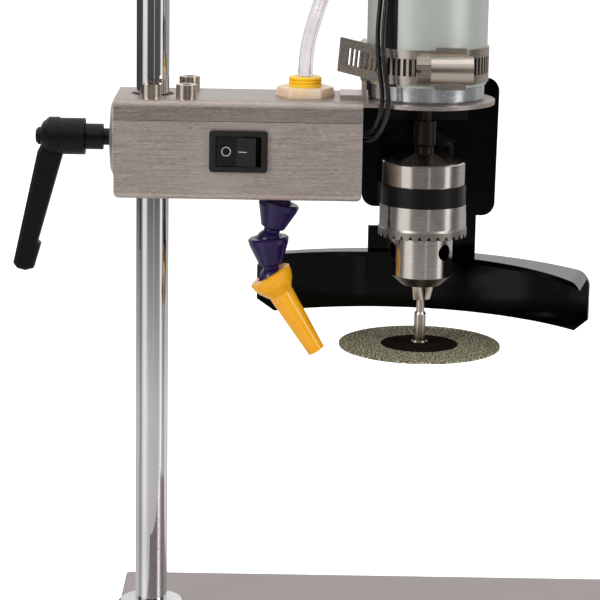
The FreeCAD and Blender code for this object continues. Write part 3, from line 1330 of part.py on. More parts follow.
def make_cords():
    inlet = -value("inlet_inset")
    top = value("inlet_hex_height + inlet_nut_height")
    tube("water_hose", value("hose_diameter"), [
        (inlet, 0, top), (inlet, 0, 15.8), (-17.7, 0, 28.8), (-10.3, 2, 49.8), (2.5, 8, 84.8),
        (16.5, 20, 114.8), (29.5, 40, 116.8), (35.5, 54, 96.8), (33.5, 54, 66.8), (29.5, 48, 38.8),
        (27.5, 41, 12.8), (26.5, 38, -11.2), (26.9, 37.2, -33.2),
    ])
    left = value("spindle_gap - motor_terminal_shift")
    right = value("spindle_gap + motor_terminal_shift")
    tube("motor_lead_a", value("lead_diameter"), [
        (left, -1.4, 68.6), (left - 1.5, -5, 72.6), (left - 5, -11, 69.6), (5.5, -16.8, 56.6),
        (5.7, -17.2, 41), (4.3, -19.2, 24), (5.5, -21.2, 12), (7.1, -21.8, 1.5), (5.1, -20.6, -7),
        (2.9, -15.2, -11.6), (-1.5, -12.6, -12.4),
    ])
    tube("motor_lead_b", value("lead_diameter"), [
        (right, -1.4, 68.6), (right - 2, -7, 74.6), (right - 14, -14.4, 75.6), (10, -17, 66.6),
        (7.6, -17.8, 53.6), (7.7, -18.6, 40), (6.3, -20.6, 24.4), (7.5, -22.6, 11.6), (9.3, -23, 0.6),
        (6.9, -22.4, -9.2), (3.1, -15.6, -14.4), (-1.5, -9.6, -14),
    ])
    outlet = -value("outlet_inset")
    start = -value("inlet_stem")
    end = value("outlet_stem - outlet_flange_height - arm_height")
    tube("inner_hose", value("hose_diameter"), [
        (inlet, 0, start), (inlet, 0, start - 7), (outlet, 0, end + 7), (outlet, 0, end),
    ])


make_stand()
make_arm()
make_clamp_block()
make_lever()
make_switch()
make_power_socket()
make_inlet()
make_outlet()
make_motor()
make_motor_strap()
make_guard()
make_spindle()
make_jaws()
make_sleeve()
make_disc()
make_cords()
doc.recompute()

failed = [item.Label for item in doc.Objects if {"Invalid", "Error"} & set(item.State)]
for name, item in NODES.items():
    if item.Shape.isNull() or not item.Shape.isValid() or not item.Shape.Solids:
        failed.append(name)
if failed:
    raise SystemExit(f"failed: {failed}")

os.makedirs("parts", exist_ok=True)
for name, item in NODES.items():
    item.Shape.exportStep(f"parts/{name}.step")
print(f"{len(NODES)} sub-parts written")
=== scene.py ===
"""Bench cutting stand: looks, added pieces, cords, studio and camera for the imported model, in metres."""
import math

import bmesh
import bpy
from mathutils import Matrix, Vector


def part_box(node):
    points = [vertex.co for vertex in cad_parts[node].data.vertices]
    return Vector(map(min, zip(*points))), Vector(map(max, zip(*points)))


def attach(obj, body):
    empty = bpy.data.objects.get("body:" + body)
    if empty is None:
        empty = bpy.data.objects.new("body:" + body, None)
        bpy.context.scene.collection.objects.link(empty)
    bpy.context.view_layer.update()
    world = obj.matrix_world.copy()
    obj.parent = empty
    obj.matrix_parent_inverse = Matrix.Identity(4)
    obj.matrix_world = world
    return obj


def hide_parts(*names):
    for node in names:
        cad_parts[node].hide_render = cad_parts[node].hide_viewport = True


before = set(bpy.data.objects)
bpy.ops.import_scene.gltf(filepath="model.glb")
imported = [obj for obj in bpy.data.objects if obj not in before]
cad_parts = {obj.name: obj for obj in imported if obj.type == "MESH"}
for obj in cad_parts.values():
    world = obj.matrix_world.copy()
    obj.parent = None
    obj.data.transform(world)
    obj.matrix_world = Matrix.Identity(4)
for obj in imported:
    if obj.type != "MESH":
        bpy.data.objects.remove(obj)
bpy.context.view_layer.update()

MM = 0.001


def middle(node):
    """The middle of a CAD node's box."""
    low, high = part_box(node)
    return (low + high) / 2


def bottom(node):
    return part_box(node)[0].z


def top(node):
    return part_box(node)[1].z


# Places and levels, read from the CAD nodes.
POLE = middle("pole")
SPINDLE = middle("motor_sleeve")
SWITCH = middle("switch_body")
STUD = middle("lever_screw")
BOSS_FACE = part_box("end_boss")[0].x
ARM_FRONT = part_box("arm_housing")[0].y
ARM_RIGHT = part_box("arm_housing")[1].x
ARM_TOP = top("arm_lid")
NOSE_LOW = bottom("chuck_body")
SLEEVE_LOW, SLEEVE_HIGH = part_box("chuck_sleeve")
SLEEVE_RADIUS = (SLEEVE_HIGH.x - SLEEVE_LOW.x) / 2


# ---------------------------------------------------------------- node trees


def tint(red, green, blue):
    """A colour as it looks on screen, 0 to 255, as linear values."""
    def linear(part):
        part /= 255
        return part / 12.92 if part <= 0.04045 else ((part + 0.055) / 1.055) ** 2.4

    return linear(red), linear(green), linear(blue), 1.0


def shade(color, factor):
    """A linear colour made darker or lighter."""
    return tuple(min(part * factor, 1.0) for part in color[:3]) + (1.0,)


class Nodes:
    """Short ways to add to a node tree."""

    def __init__(self, tree):
        self.tree = tree

    def feed(self, sockets, values):
        """Set each socket, or link it where its value is another node's output."""
        for socket, value in zip(sockets, values):
            if isinstance(value, bpy.types.NodeSocket):
                self.tree.links.new(value, socket)
            else:
                socket.default_value = value

    def plug(self, item, **inputs):
        """Feed a node's inputs by name, written with _ for each space."""
        self.feed([item.inputs[name.replace("_", " ")] for name in inputs], inputs.values())

    def node(self, kind, **inputs):
        item = self.tree.nodes.new(f"ShaderNode{kind}")
        self.plug(item, **inputs)
        return item

    def joined(self, kind, *values):
        """The first output of a node that is fed in the order of its inputs."""
        item = self.node(kind)
        self.feed(item.inputs, values)
        return item.outputs[0]

    def math(self, operation, *values, clamp=False):
        item = self.node("Math")
        item.operation = operation
        item.use_clamp = clamp
        self.feed(item.inputs, values)
        return item.outputs["Value"]

    def mix(self, factor, first, second):
        """Two colours mixed by a factor."""
        item = self.node("Mix")
        item.data_type = "RGBA"
        self.feed((item.inputs["Factor"], item.inputs[6], item.inputs[7]), (factor, first, second))
        return item.outputs[2]

    def blend(self, source, *stops):
        """A colour ramp with (position, colour) stops."""
        item = self.node("ValToRGB", Fac=source)
        ramp = item.color_ramp
        while len(ramp.elements) < len(stops):
            ramp.elements.new(0.5)
        for element, (position, color) in zip(ramp.elements, stops):
            element.position = position
            element.color = color
        return item.outputs["Color"]


class Look(Nodes):
    """A Principled material whose colour, roughness and relief come from procedural textures."""

    def __init__(self, name, color, roughness, **settings):
        self.material = bpy.data.materials.new(name)
        self.material.use_nodes = True
        super().__init__(self.material.node_tree)
        self.shader = self.tree.nodes["Principled BSDF"]
        self.output = self.tree.nodes["Material Output"]
        self.plug(self.shader, Base_Color=color, Roughness=roughness, **settings)
        self.place = self.node("TexCoord").outputs["Object"]

    def grain(self, size, detail=3.0, stretch=(1, 1, 1), turn=(0, 0, 0)):
        """Noise whose features are about this many metres across, and longer where stretch is under 1."""
        spot = self.node("Mapping", Vector=self.place, Scale=stretch, Rotation=turn).outputs["Vector"]
        return self.node("TexNoise", Vector=spot, Scale=1 / size, Detail=detail, Roughness=0.55).outputs["Fac"]

    def spread(self, source, low, high, start=0.3, end=0.7):
        """A source's range from start to end, carried to low..high."""
        item = self.node("MapRange", Value=source, From_Min=start, From_Max=end, To_Min=low, To_Max=high)
        return item.outputs["Result"]

    def within(self, source, low, high):
        """1 where a source lies between two values, or else 0."""
        return self.math("MULTIPLY", self.math("GREATER_THAN", source, low), self.math("LESS_THAN", source, high))

    def from_axis(self, axis):
        """Distance from an upright axis, bearing round it in degrees (0 to the front, up to the right), height."""
        here = self.node("Mapping", Vector=self.place, Location=(-axis.x, -axis.y, 0)).outputs["Vector"]
        across, back, height = self.node("SeparateXYZ", Vector=here).outputs
        square = self.math("ADD", self.math("MULTIPLY", across, across), self.math("MULTIPLY", back, back))
        turn = self.math("ARCTAN2", across, self.math("MULTIPLY", back, -1.0))
        return self.math("SQRT", square), self.math("MULTIPLY", turn, 180 / math.pi), height

    def paint(self, color, roughness):
        self.plug(self.shader, Base_Color=color, Roughness=roughness)

    def relief(self, height, depth):
        """Bump this many metres deep from a 0 to 1 height, on top of any bump already there."""
        item = self.node("Bump", Height=height, Distance=depth, Strength=1.0)
        normal = self.shader.inputs["Normal"]
        if normal.links:
            self.plug(item, Normal=normal.links[0].from_socket)
        self.plug(self.shader, Normal=item.outputs["Normal"])


# ---------------------------------------------------------------- looks

# What is painted with shade or roughened on the chuck: a shaded zone is (inside this radius, above, below).
NOSE_CONE_TOP = NOSE_LOW + 3.9 * MM
KEY_HOLE_SHADE = (11.1 * MM, NOSE_LOW + 4.2 * MM, SLEEVE_LOW.z - 0.2 * MM)
TOOTH_GAP_SHADE = (SLEEVE_RADIUS - 0.2 * MM, SLEEVE_LOW.z - 1 * MM, SLEEVE_LOW.z + 2.9 * MM)
TEETH_TOP = SLEEVE_LOW.z + 3.8 * MM

# The motor sleeve's dark stripe, in degrees round it, and its painted shade under the hose clamp.
STRIPE_BEARING = -38.5
STRIPE_HALF = 6.8
CLAMP_SHADE = (bottom("clamp_band") + 1.6 * MM, top("clamp_band") - 2.6 * MM)

# Where the disc's bare centre ends, and how far the grit strays from that circle.
GRIT_START = 14.4 * MM
GRIT_WOBBLE = 0.5 * MM


def brushed(name, color, roughness, along=(1, 0, 0), depth=10e-6, metallic=0.8, contrast=0.16, glow=0.0,
            drawn=0.09):
    """Sheet metal with short fine strokes along one axis and faint, broad lighter clouds."""
    look = Look(name, color, roughness, Metallic=metallic)
    strokes = look.grain(0.3 * MM, 3.0, tuple(drawn if axis else 1.0 for axis in along), (0, math.radians(3), 0))
    hairs = look.grain(0.7 * MM, 2.0, tuple(0.05 if axis else 1.0 for axis in along), (0, math.radians(-4), 0))
    clouds = look.grain(34 * MM, 1.0, (1.0, 1.0, 0.8))
    tone = look.blend(look.mix(0.35, strokes, hairs), (0.28, shade(color, 1 - contrast)),
                      (0.72, shade(color, 1 + contrast)))
    look.paint(look.mix(look.spread(clouds, 0.0, 0.35 + glow, 0.48, 0.7), tone, shade(color, 1.22)),
               look.spread(look.mix(0.4, hairs, clouds), roughness - 0.06, roughness + 0.08))
    look.relief(strokes, depth)
    return look.material


def lathe_marks(look):
    """Fine rings round the upright axis, and broad patches."""
    return look.grain(0.16 * MM, 3.0, (0.02, 0.02, 1.0)), look.grain(5 * MM, 3.0)


def turned_steel(name, color, roughness, depth=2.5e-6):
    """Lathe-turned metal: fine rings round the upright axis."""
    look = Look(name, color, roughness, Metallic=1.0)
    rings, patches = lathe_marks(look)
    look.paint(look.blend(look.mix(0.35, rings, patches), (0.3, shade(color, 0.86)), (0.7, color)),
               look.spread(look.mix(0.5, rings, patches), roughness - 0.05, roughness + 0.09))
    look.relief(rings, depth)
    return look.material


def chuck_steel(name, shaded_zone, rough_below):
    """Bright turned steel, grey and rougher below one level, with painted shade in its shaded zone."""
    look = Look(name, tint(216, 210, 204), 0.13, Metallic=1.0)
    rings, patches = lathe_marks(look)
    steel = look.blend(look.mix(0.35, rings, patches), (0.3, tint(194, 187, 181)), (0.7, tint(218, 212, 206)))
    polish = look.spread(look.mix(0.5, rings, patches), 0.1, 0.2)
    reach, _, height = look.from_axis(SPINDLE)
    rough = look.math("LESS_THAN", height, rough_below)
    steel = look.mix(look.math("MULTIPLY", rough, 0.75), steel, tint(126, 121, 114))
    polish = look.mix(rough, polish, (0.36, 0.36, 0.36, 1))
    # Painted shade: the key hole's walls and the gaps between the teeth are darkened where little light reaches into
    # them.
    radius, low, high = shaded_zone
    painted_shade = look.math("MULTIPLY", look.math("LESS_THAN", reach, radius), look.within(height, low, high))
    look.paint(look.mix(painted_shade, steel, tint(30, 27, 25)), polish)
    look.relief(rings, 2.5e-6)
    return look.material


def moulded(name, color, roughness, grit=0.0, **settings):
    """Moulded plastic: faint mottling, a soft orange peel and fine wear."""
    look = Look(name, color, roughness, **settings)
    peel = look.grain(1.6 * MM, 2.0)
    dust = look.grain(0.22 * MM, 4.0)
    broad = look.grain(9 * MM, 3.0)
    look.paint(look.blend(look.mix(0.5, broad, dust), (0.32, shade(color, 0.86)), (0.68, shade(color, 1.12))),
               look.spread(look.mix(0.4, broad, dust), roughness - 0.05, roughness + 0.08))
    look.relief(peel, 6e-6)
    if grit:
        look.relief(dust, grit)
    return look.material


def chrome():
    look = Look("polished_chrome", tint(216, 214, 216), 0.05, Metallic=1.0)
    haze = look.grain(14 * MM, 3.0, (1, 1, 0.2))
    rings = look.grain(0.3 * MM, 3.0, (0.05, 0.05, 1))
    look.paint(look.blend(haze, (0.3, tint(205, 203, 206)), (0.7, tint(226, 225, 226))),
               look.spread(haze, 0.025, 0.06))
    look.relief(rings, 0.6e-6)
    return look.material


def galvanised():
    """Zinc coated steel with a bluish cast and crystal spangle."""
    look = Look("zinc_can", tint(206, 208, 210), 0.22, Metallic=0.85)
    spangle = look.node("TexVoronoi", Vector=look.place, Scale=1 / (1.1 * MM)).outputs["Color"]
    stain = look.grain(4 * MM, 4.0)
    speck = look.grain(0.5 * MM, 4.0)
    tone = look.blend(stain, (0.3, tint(186, 189, 192)), (0.52, tint(208, 211, 214)), (0.75, tint(224, 226, 228)))
    look.paint(look.mix(0.04, tone, spangle), look.spread(speck, 0.16, 0.28))
    look.relief(speck, 3e-6)
    return look.material


def painted_sleeve():
    """The pale grey-green sleeve round the motor, with a dark stripe, and painted shade under the hose clamp."""
    look = Look("grey_green_sleeve", tint(184, 189, 183), 0.38, Metallic=0.48)
    cloud = look.grain(16 * MM, 2.0, (1, 1, 0.35))
    speck = look.grain(0.3 * MM, 3.0)
    pale = look.blend(cloud, (0.3, tint(181, 186, 180)), (0.7, tint(188, 193, 187)))
    _, turn, height = look.from_axis(SPINDLE)
    stripe = look.math("LESS_THAN", look.math("ABSOLUTE", look.math("SUBTRACT", turn, STRIPE_BEARING)), STRIPE_HALF)
    painted = look.mix(stripe, pale, tint(30, 31, 31))
    # Painted shade: the sleeve is darkened under the hose clamp, where it shows through the band's slots.
    look.paint(look.mix(look.within(height, *CLAMP_SHADE), painted, tint(34, 31, 29)), look.spread(speck, 0.39, 0.42))
    look.relief(speck, 1e-6)
    return look.material


def diamond_disc():
    """A bare dark steel centre and a rim of olive-grey diamond grit."""
    look = Look("diamond_grit", tint(120, 118, 98), 0.5, Specular_IOR_Level=0.0)
    reach, _, _ = look.from_axis(SPINDLE)
    wobble = look.math("MULTIPLY", look.math("SUBTRACT", look.grain(3 * MM, 2.0), 0.5), GRIT_WOBBLE)
    rim = look.math("GREATER_THAN", look.math("ADD", reach, wobble), GRIT_START)
    crystals = look.node("TexVoronoi", Vector=look.place, Scale=1 / (0.42 * MM)).outputs["Distance"]
    # Pale diamond crystals with painted glints: the palest specks stand in for the grit's sparkle.
    specks_and_glints = look.node("TexNoise", Vector=look.place, Scale=1 / (0.7 * MM), Detail=4.0, Roughness=0.7)
    grit = look.blend(specks_and_glints.outputs["Fac"], (0.36, tint(34, 32, 24)), (0.5, tint(108, 105, 83)),
                      (0.58, tint(166, 163, 136)), (0.66, tint(250, 246, 226)))
    swirl = look.grain(0.5 * MM, 3.0, (0.3, 0.3, 1))
    plain = look.blend(swirl, (0.3, tint(18, 15, 14)), (0.7, tint(36, 30, 27)))
    look.paint(look.mix(rim, plain, grit), look.spread(rim, 0.16, 0.6, 0.0, 1.0))
    look.relief(look.math("MULTIPLY", rim, crystals), 60e-6)
    return look.material


def milky():
    """Cloudy cream plastic that lets some light through."""
    look = Look("milky_plastic", tint(255, 222, 184), 0.3, Transmission_Weight=0.15, IOR=1.49,
                Subsurface_Weight=0.5, Subsurface_Scale=0.004, Subsurface_Radius=(1.0, 0.7, 0.5))
    cloud = look.grain(7 * MM, 3.0)
    look.paint(look.blend(cloud, (0.3, tint(255, 214, 176)), (0.7, tint(255, 234, 214))),
               look.spread(look.grain(0.4 * MM), 0.26, 0.4))
    look.relief(look.grain(1.2 * MM, 2.0), 8e-6)
    return look.material


def clear_hose():
    """Clear soft plastic, greyer where the light passes through more of it."""
    look = Look("clear_hose", tint(246, 246, 250), 0.04, Transmission_Weight=1.0, IOR=1.42)
    haze = look.grain(5 * MM, 3.0)
    look.paint(look.blend(haze, (0.3, tint(244, 240, 242)), (0.7, tint(252, 250, 251))),
               look.spread(haze, 0.02, 0.06))
    look.relief(look.grain(0.9 * MM, 2.0), 2e-6)
    depth = look.node("VolumeAbsorption", Density=110.0, Color=tint(176, 160, 166))
    look.plug(look.output, Volume=depth.outputs[0])
    return look.material


ARM_BRUSH = dict(depth=17e-6, contrast=0.42, glow=0.35, drawn=0.14)
GLOWING = dict(Subsurface_Weight=0.3, Subsurface_Scale=0.003, Coat_Weight=0.2, Coat_Roughness=0.12)

LOOKS = {
    "base_steel": brushed("base_steel", tint(164, 155, 153), 0.42, depth=3e-6, contrast=0.05),
    "arm_steel": brushed("arm_steel", tint(194, 181, 174), 0.36, **ARM_BRUSH),
    # Painted shade: the lid is the arm's steel in a darker tint, standing in for the shade on the box's top.
    "shaded_lid_steel": brushed("shaded_lid_steel", tint(165, 154, 148), 0.36, **ARM_BRUSH),
    "chrome": chrome(),
    "nickel": turned_steel("nickel_screws", tint(208, 196, 184), 0.18),
    "chuck": chuck_steel("chuck_steel", KEY_HOLE_SHADE, NOSE_CONE_TOP),
    "geared": chuck_steel("geared_sleeve", TOOTH_GAP_SHADE, TEETH_TOP),
    "adapter": turned_steel("dark_adapter", tint(52, 46, 42), 0.3),
    "oxide": turned_steel("black_oxide", tint(44, 44, 45), 0.34, 4e-6),
    "band": brushed("stainless_band", tint(184, 175, 166), 0.26, depth=3e-6, metallic=1.0),
    "worm": brushed("stainless_worm", tint(198, 187, 176), 0.25, depth=3e-6, metallic=1.0, contrast=0.12),
    "brass": turned_steel("brass", tint(190, 150, 84), 0.3),
    "copper": turned_steel("copper", tint(184, 110, 78), 0.3),
    "aluminium": brushed("aluminium_block", tint(190, 190, 190), 0.4, along=(0, 0, 1)),
    "ferrite": moulded("ferrite", tint(62, 60, 60), 0.6, 12e-6),
    "nylon": moulded("white_nylon", tint(226, 224, 216), 0.45),
    "rubber": moulded("black_rubber", tint(34, 34, 35), 0.7, 16e-6),
    "lever": moulded("lever_plastic", tint(11, 11, 11), 0.36, 5e-6, Specular_IOR_Level=0.2),
    "plastic": moulded("black_plastic", tint(27, 26, 24), 0.4, 4e-6, Specular_IOR_Level=0.35),
    "rocker": moulded("rocker_plastic", tint(17, 17, 18), 0.28, Specular_IOR_Level=0.35),
    "guard": moulded("gloss_black", tint(2, 2, 2), 0.09, Specular_IOR_Level=0.2),
    "violet": moulded("violet_plastic", tint(29, 11, 68), 0.24, Specular_IOR_Level=0.4),
    "orange": moulded("orange_plastic", tint(255, 174, 4), 0.28, **GLOWING),
    "amber": moulded("amber_plastic", tint(255, 198, 28), 0.28, **GLOWING),
    "lead": moulded("lead_sheath", tint(14, 14, 14), 0.22),
    "print": moulded("pale_print", tint(168, 168, 168), 0.4),
    "zinc": galvanised(),
    "sleeve": painted_sleeve(),
    "disc": diamond_disc(),
    "milky": milky(),
    "clear": clear_hose(),
}

NODES_IN = {
    "base_steel": ["base_plate"],
    "arm_steel": ["arm_housing", "end_boss", "motor_tab"],
    "shaded_lid_steel": ["arm_lid"],
    "chrome": ["pole", "pole_flange"],
    "nickel": ["clamp_screws", "pole_screw", "mandrel", "jaw_1", "jaw_2", "jaw_3", "disc_screw",
               "front_bearing", "rear_bearing"],
    "chuck": ["chuck_body", "chuck_nut"],
    "geared": ["chuck_sleeve"],
    # Painted shade: the motor shaft takes the dark adapter look, for its shade under the plate.
    "adapter": ["shaft_adapter", "motor_shaft"],
    "oxide": ["chuck_band", "lever_screw", "guard_bracket", "guard_screws"],
    "band": ["clamp_band"],
    "worm": ["worm_housing", "worm_screw"],
    "brass": ["pressure_pad", "switch_terminals", "motor_terminals"],
    "copper": ["commutator"],
    "aluminium": ["clamp_block"],
    "ferrite": ["motor_magnets", "motor_brushes", "armature"],
    "nylon": ["pole_bushes"],
    "rubber": ["base_feet"],
    "lever": ["lever_handle", "lever_button"],
    "plastic": ["pole_cap", "switch_body", "power_socket", "motor_end_cap"],
    "rocker": ["switch_rocker"],
    "guard": ["splash_guard"],
    "violet": ["outlet_fitting", "outlet_nut", "hose_link_upper", "hose_link_lower"],
    "orange": ["nozzle"],
    "amber": ["inlet_nut"],
    "lead": ["motor_lead_a", "motor_lead_b"],
    "zinc": ["motor_can"],
    "sleeve": ["motor_sleeve"],
    "disc": ["cutting_disc"],
    "milky": ["inlet_base"],
    "clear": ["water_hose", "inner_hose"],
}
for key, nodes in NODES_IN.items():
    for name in nodes:
        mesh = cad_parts[name].data
        mesh.materials.clear()
        mesh.materials.append(LOOKS[key])


# ---------------------------------------------------------------- softened edges

EDGE_ANGLE = math.radians(35)
EDGE_WIDTHS = {
    0.45 * MM: ["lever_handle", "pole_cap", "motor_end_cap", "base_feet"],
    0.3 * MM: ["base_plate", "pole_flange", "clamp_block", "lever_button", "inlet_base", "hose_link_upper",
               "hose_link_lower", "nozzle", "worm_housing", "splash_guard", "switch_body", "lever_screw"],
    0.22 * MM: ["arm_housing", "arm_lid", "end_boss", "clamp_screws", "inlet_nut", "motor_tab",
                "guard_bracket", "power_socket", "chuck_body", "shaft_adapter", "switch_rocker",
                "worm_screw", "guard_screws"],
    0.12 * MM: ["motor_sleeve", "clamp_band", "chuck_sleeve", "chuck_band", "mandrel", "disc_screw",
                "jaw_1", "jaw_2", "jaw_3", "cutting_disc", "motor_can", "outlet_fitting"],
}
for width, nodes in EDGE_WIDTHS.items():
    for name in nodes:
        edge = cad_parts[name].modifiers.new("edge", "BEVEL")
        edge.width = width
        edge.segments = 2
        edge.limit_method = "ANGLE"
        edge.angle_limit = EDGE_ANGLE
        edge.harden_normals = True


# ---------------------------------------------------------------- added pieces


def placed(name, data):
    """A new object in the scene."""
    item = bpy.data.objects.new(name, data)
    bpy.context.collection.objects.link(item)
    return item


def piece(name, mesh, look, body):
    """A mesh piece with one look, carried by a body of the frame."""
    mesh.materials.append(LOOKS[look])
    item = placed(name, mesh)
    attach(item, body)
    return item


# The rocker at rest: its front is dished towards the middle, and it stands tipped on its pivot.
ROCKER_PIVOT = Vector((SWITCH.x, ARM_FRONT + 2.6 * MM, SWITCH.z))
ROCKER_TURN = Matrix.Rotation(math.radians(-10), 4, "Z")
ROCKER_ARM = 5.0 * MM
ROCKER_DIP = 0.9 * MM
ROCKER_HALF = 7.2 * MM

# Its O and - marks: the middle of each, across the rocker, and their sizes.
MARK_LIFT = 0.02 * MM
MARK_THICKNESS = 0.05 * MM
RING_AT = -3.7 * MM
RING_INSIDE = 1.4 * MM
RING_OUTSIDE = 1.72 * MM
RING_STEPS = 40
DASH_AT = 2.3 * MM
DASH_LENGTH = 3.2 * MM
DASH_HALF_HEIGHT = 0.15 * MM
DASH_STEPS = 8


def on_rocker(across, up):
    """A point on the rocker's front, as the rocker sits at rest."""
    depth = -ROCKER_ARM + ROCKER_DIP * (1 - abs(across) / ROCKER_HALF) - MARK_LIFT
    return ROCKER_PIVOT + ROCKER_TURN @ Vector((across, depth, up))


def rocker_ring(radius):
    turns = [2 * math.pi * step / RING_STEPS for step in range(RING_STEPS + 1)]
    return [on_rocker(RING_AT + radius * math.cos(turn), radius * math.sin(turn)) for turn in turns]


def rocker_line(up):
    return [on_rocker(DASH_AT + DASH_LENGTH * (step / DASH_STEPS - 0.5), up) for step in range(DASH_STEPS + 1)]


def rocker_mark(name, first, second):
    """A thin raised mark between two rows of points. Its ends are welded where they meet."""
    count = len(first)
    mesh = bpy.data.meshes.new(name)
    faces = [(i, i + 1, count + i + 1, count + i) for i in range(count - 1)]
    mesh.from_pydata([tuple(point) for point in first + second], [], faces)
    item = piece(name, mesh, "print", "rocker")
    weld = item.modifiers.new("weld", "WELD")
    weld.merge_threshold = 1e-6
    shell = item.modifiers.new("thickness", "SOLIDIFY")
    shell.thickness = MARK_THICKNESS
    shell.offset = 0


rocker_mark("switch_off_mark", rocker_ring(RING_INSIDE), rocker_ring(RING_OUTSIDE))
rocker_mark("switch_on_mark", rocker_line(-DASH_HALF_HEIGHT), rocker_line(DASH_HALF_HEIGHT))

# The clamping stud's thread, which shows between the boss and the lever's collar.
THREAD_START = 0.2 * MM
THREAD_PITCH = 0.7 * MM
THREAD_CORE = 2.9 * MM
THREAD_DEPTH = 0.36 * MM
THREAD_LEVELS = 9
THREAD_STEPS = 64


def lathe(name, profile, place, look, body, steps):
    """A turned piece: its profile is (radius, height) about the place's own Z."""
    work = bmesh.new()
    rings = []
    for radius, height in profile:
        angles = (2 * math.pi * step / steps for step in range(steps))
        rings.append([work.verts.new(place @ Vector((radius * math.cos(angle), radius * math.sin(angle), height)))
                      for angle in angles])
    for lower, upper in zip(rings, rings[1:]):
        for step in range(steps):
            after = (step + 1) % steps
            work.faces.new((lower[step], lower[after], upper[after], upper[step]))
    mesh = bpy.data.meshes.new(name)
    work.to_mesh(mesh)
    work.free()
    mesh.shade_smooth()
    piece(name, mesh, look, body)


stud_start = Matrix.Translation((BOSS_FACE + THREAD_START, STUD.y, STUD.z))
lathe("stud_thread",
      [(THREAD_CORE + THREAD_DEPTH * (level % 2), level * THREAD_PITCH / 2) for level in range(THREAD_LEVELS)],
      stud_start @ Matrix.Rotation(math.radians(-90), 4, "Y"), "oxide", "lever_screw", THREAD_STEPS)


# ---------------------------------------------------------------- cords

HOSE_DIAMETER = 5.2 * MM
HOSE_WALL = 1.1 * MM
LEAD_DIAMETER = 1.7 * MM


def cord(name, node, look, route, diameter, wall=None):
    """A cord of the arm on one smooth line through its control points, hollow where it has a wall."""
    curve = bpy.data.curves.new(name, "CURVE")
    curve.dimensions = "3D"
    spline = curve.splines.new("NURBS")
    spline.points.add(len(route) - 1)
    for point, spot in zip(spline.points, route):
        point.co = (*spot, 1.0)
    spline.order_u = 3
    spline.use_endpoint_u = True
    spline.resolution_u = 24
    curve.bevel_depth = diameter / 2
    curve.bevel_resolution = 8
    curve.use_fill_caps = wall is None
    curve.materials.append(LOOKS[look])
    item = placed(name, curve)
    if wall:
        shell = item.modifiers.new("wall", "SOLIDIFY")
        shell.thickness = wall
        shell.offset = -1
    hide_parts(node)
    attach(item, "arm")


def from_arm(*spots):
    """Points given in millimetres from the arm's right end, on the pole's row, at the arm's top."""
    return [Vector((ARM_RIGHT + x * MM, POLE.y + y * MM, ARM_TOP + z * MM)) for x, y, z in spots]


cord("clear_water_hose", "water_hose", "clear", from_arm(
    (-20.9, 0, 7.3), (-20.9, 0, 15.8), (-17.7, 0, 28.8), (-10.3, 2, 49.8), (2.5, 8, 84.8), (16.5, 20, 114.8),
    (29.5, 40, 116.8), (35.5, 54, 96.8), (33.5, 54, 66.8), (29.5, 48, 38.8), (27.5, 41, 12.8),
    (26.5, 38, -11.2), (26.9, 37.2, -33.2)), HOSE_DIAMETER, HOSE_WALL)
cord("lead_left", "motor_lead_a", "lead", from_arm(
    (11.7, -1.4, 68.6), (10.2, -5, 72.6), (6.7, -11, 69.6), (5.5, -16.8, 56.6), (5.7, -17.2, 41),
    (4.3, -19.2, 24), (5.5, -21.2, 12), (7.1, -21.8, 1.5), (5.1, -20.6, -7), (2.9, -15.2, -11.6),
    (-1.5, -12.6, -12.4)), LEAD_DIAMETER)
cord("lead_right", "motor_lead_b", "lead", from_arm(
    (34.7, -1.4, 68.6), (32.7, -7, 74.6), (20.7, -14.4, 75.6), (10, -17, 66.6), (7.6, -17.8, 53.6),
    (7.7, -18.6, 40), (6.3, -20.6, 24.4), (7.5, -22.6, 11.6), (9.3, -23, 0.6), (6.9, -22.4, -9.2),
    (3.1, -15.6, -14.4), (-1.5, -9.6, -14)), LEAD_DIAMETER)


# ---------------------------------------------------------------- stage

# The studio's brightness by bearing in degrees: 0 is towards the camera, negative to the object's left.
# A wide soft box stands on the left, a narrow one on the right and a thin strip beside the camera.
AT_EYE_LEVEL = [
    (-180, 0.34), (-158, 0.06), (-76, 0.08), (-67, 1.0), (-40, 1.0), (-33, 0.09), (10, 0.09), (12, 0.6),
    (14, 0.6), (16, 0.1), (48, 0.1), (57, 0.2), (61, 1.15), (72, 1.15), (79, 0.07), (98, 0.1), (118, 0.36),
    (150, 0.42), (180, 0.34),
]
# The same lower down, where the pale table top comes into it.
BELOW_EYE_LEVEL = [
    (-180, 0.6), (-98, 0.66), (-92, 0.3), (-86, 0.32), (-70, 0.66), (-56, 1.06), (-38, 0.98), (-20, 0.66),
    (40, 0.58), (60, 0.7), (67, 1.3), (76, 0.95), (86, 0.42), (100, 0.5), (121, 0.95), (150, 0.62),
]
BACKDROP = 0.95
OVERHEAD = 0.7

# Where each part of the studio starts along a direction's height or depth, and how fast it comes in from there.
TABLE_TOP = (-0.155, -10.0)
BACKDROP_DEPTH = (0.1, 3.0)
BACKDROP_FOOT = (-0.02, 10.0)
CEILING = (0.35, 4.0)

FLOOR_HALF = 4.0
FLOOR_GREY = 0.9
FLOOR_GLOW = 0.55

CAMERA_SPOT = (-14.24 * MM, -877.29 * MM, 325.29 * MM)
CAMERA_PITCH = math.radians(12.22)
CAMERA_ROLL = math.radians(0.927)
CAMERA_LENS = 150
CAMERA_SENSOR = 36


def grey(level):
    return level, level, level, 1.0


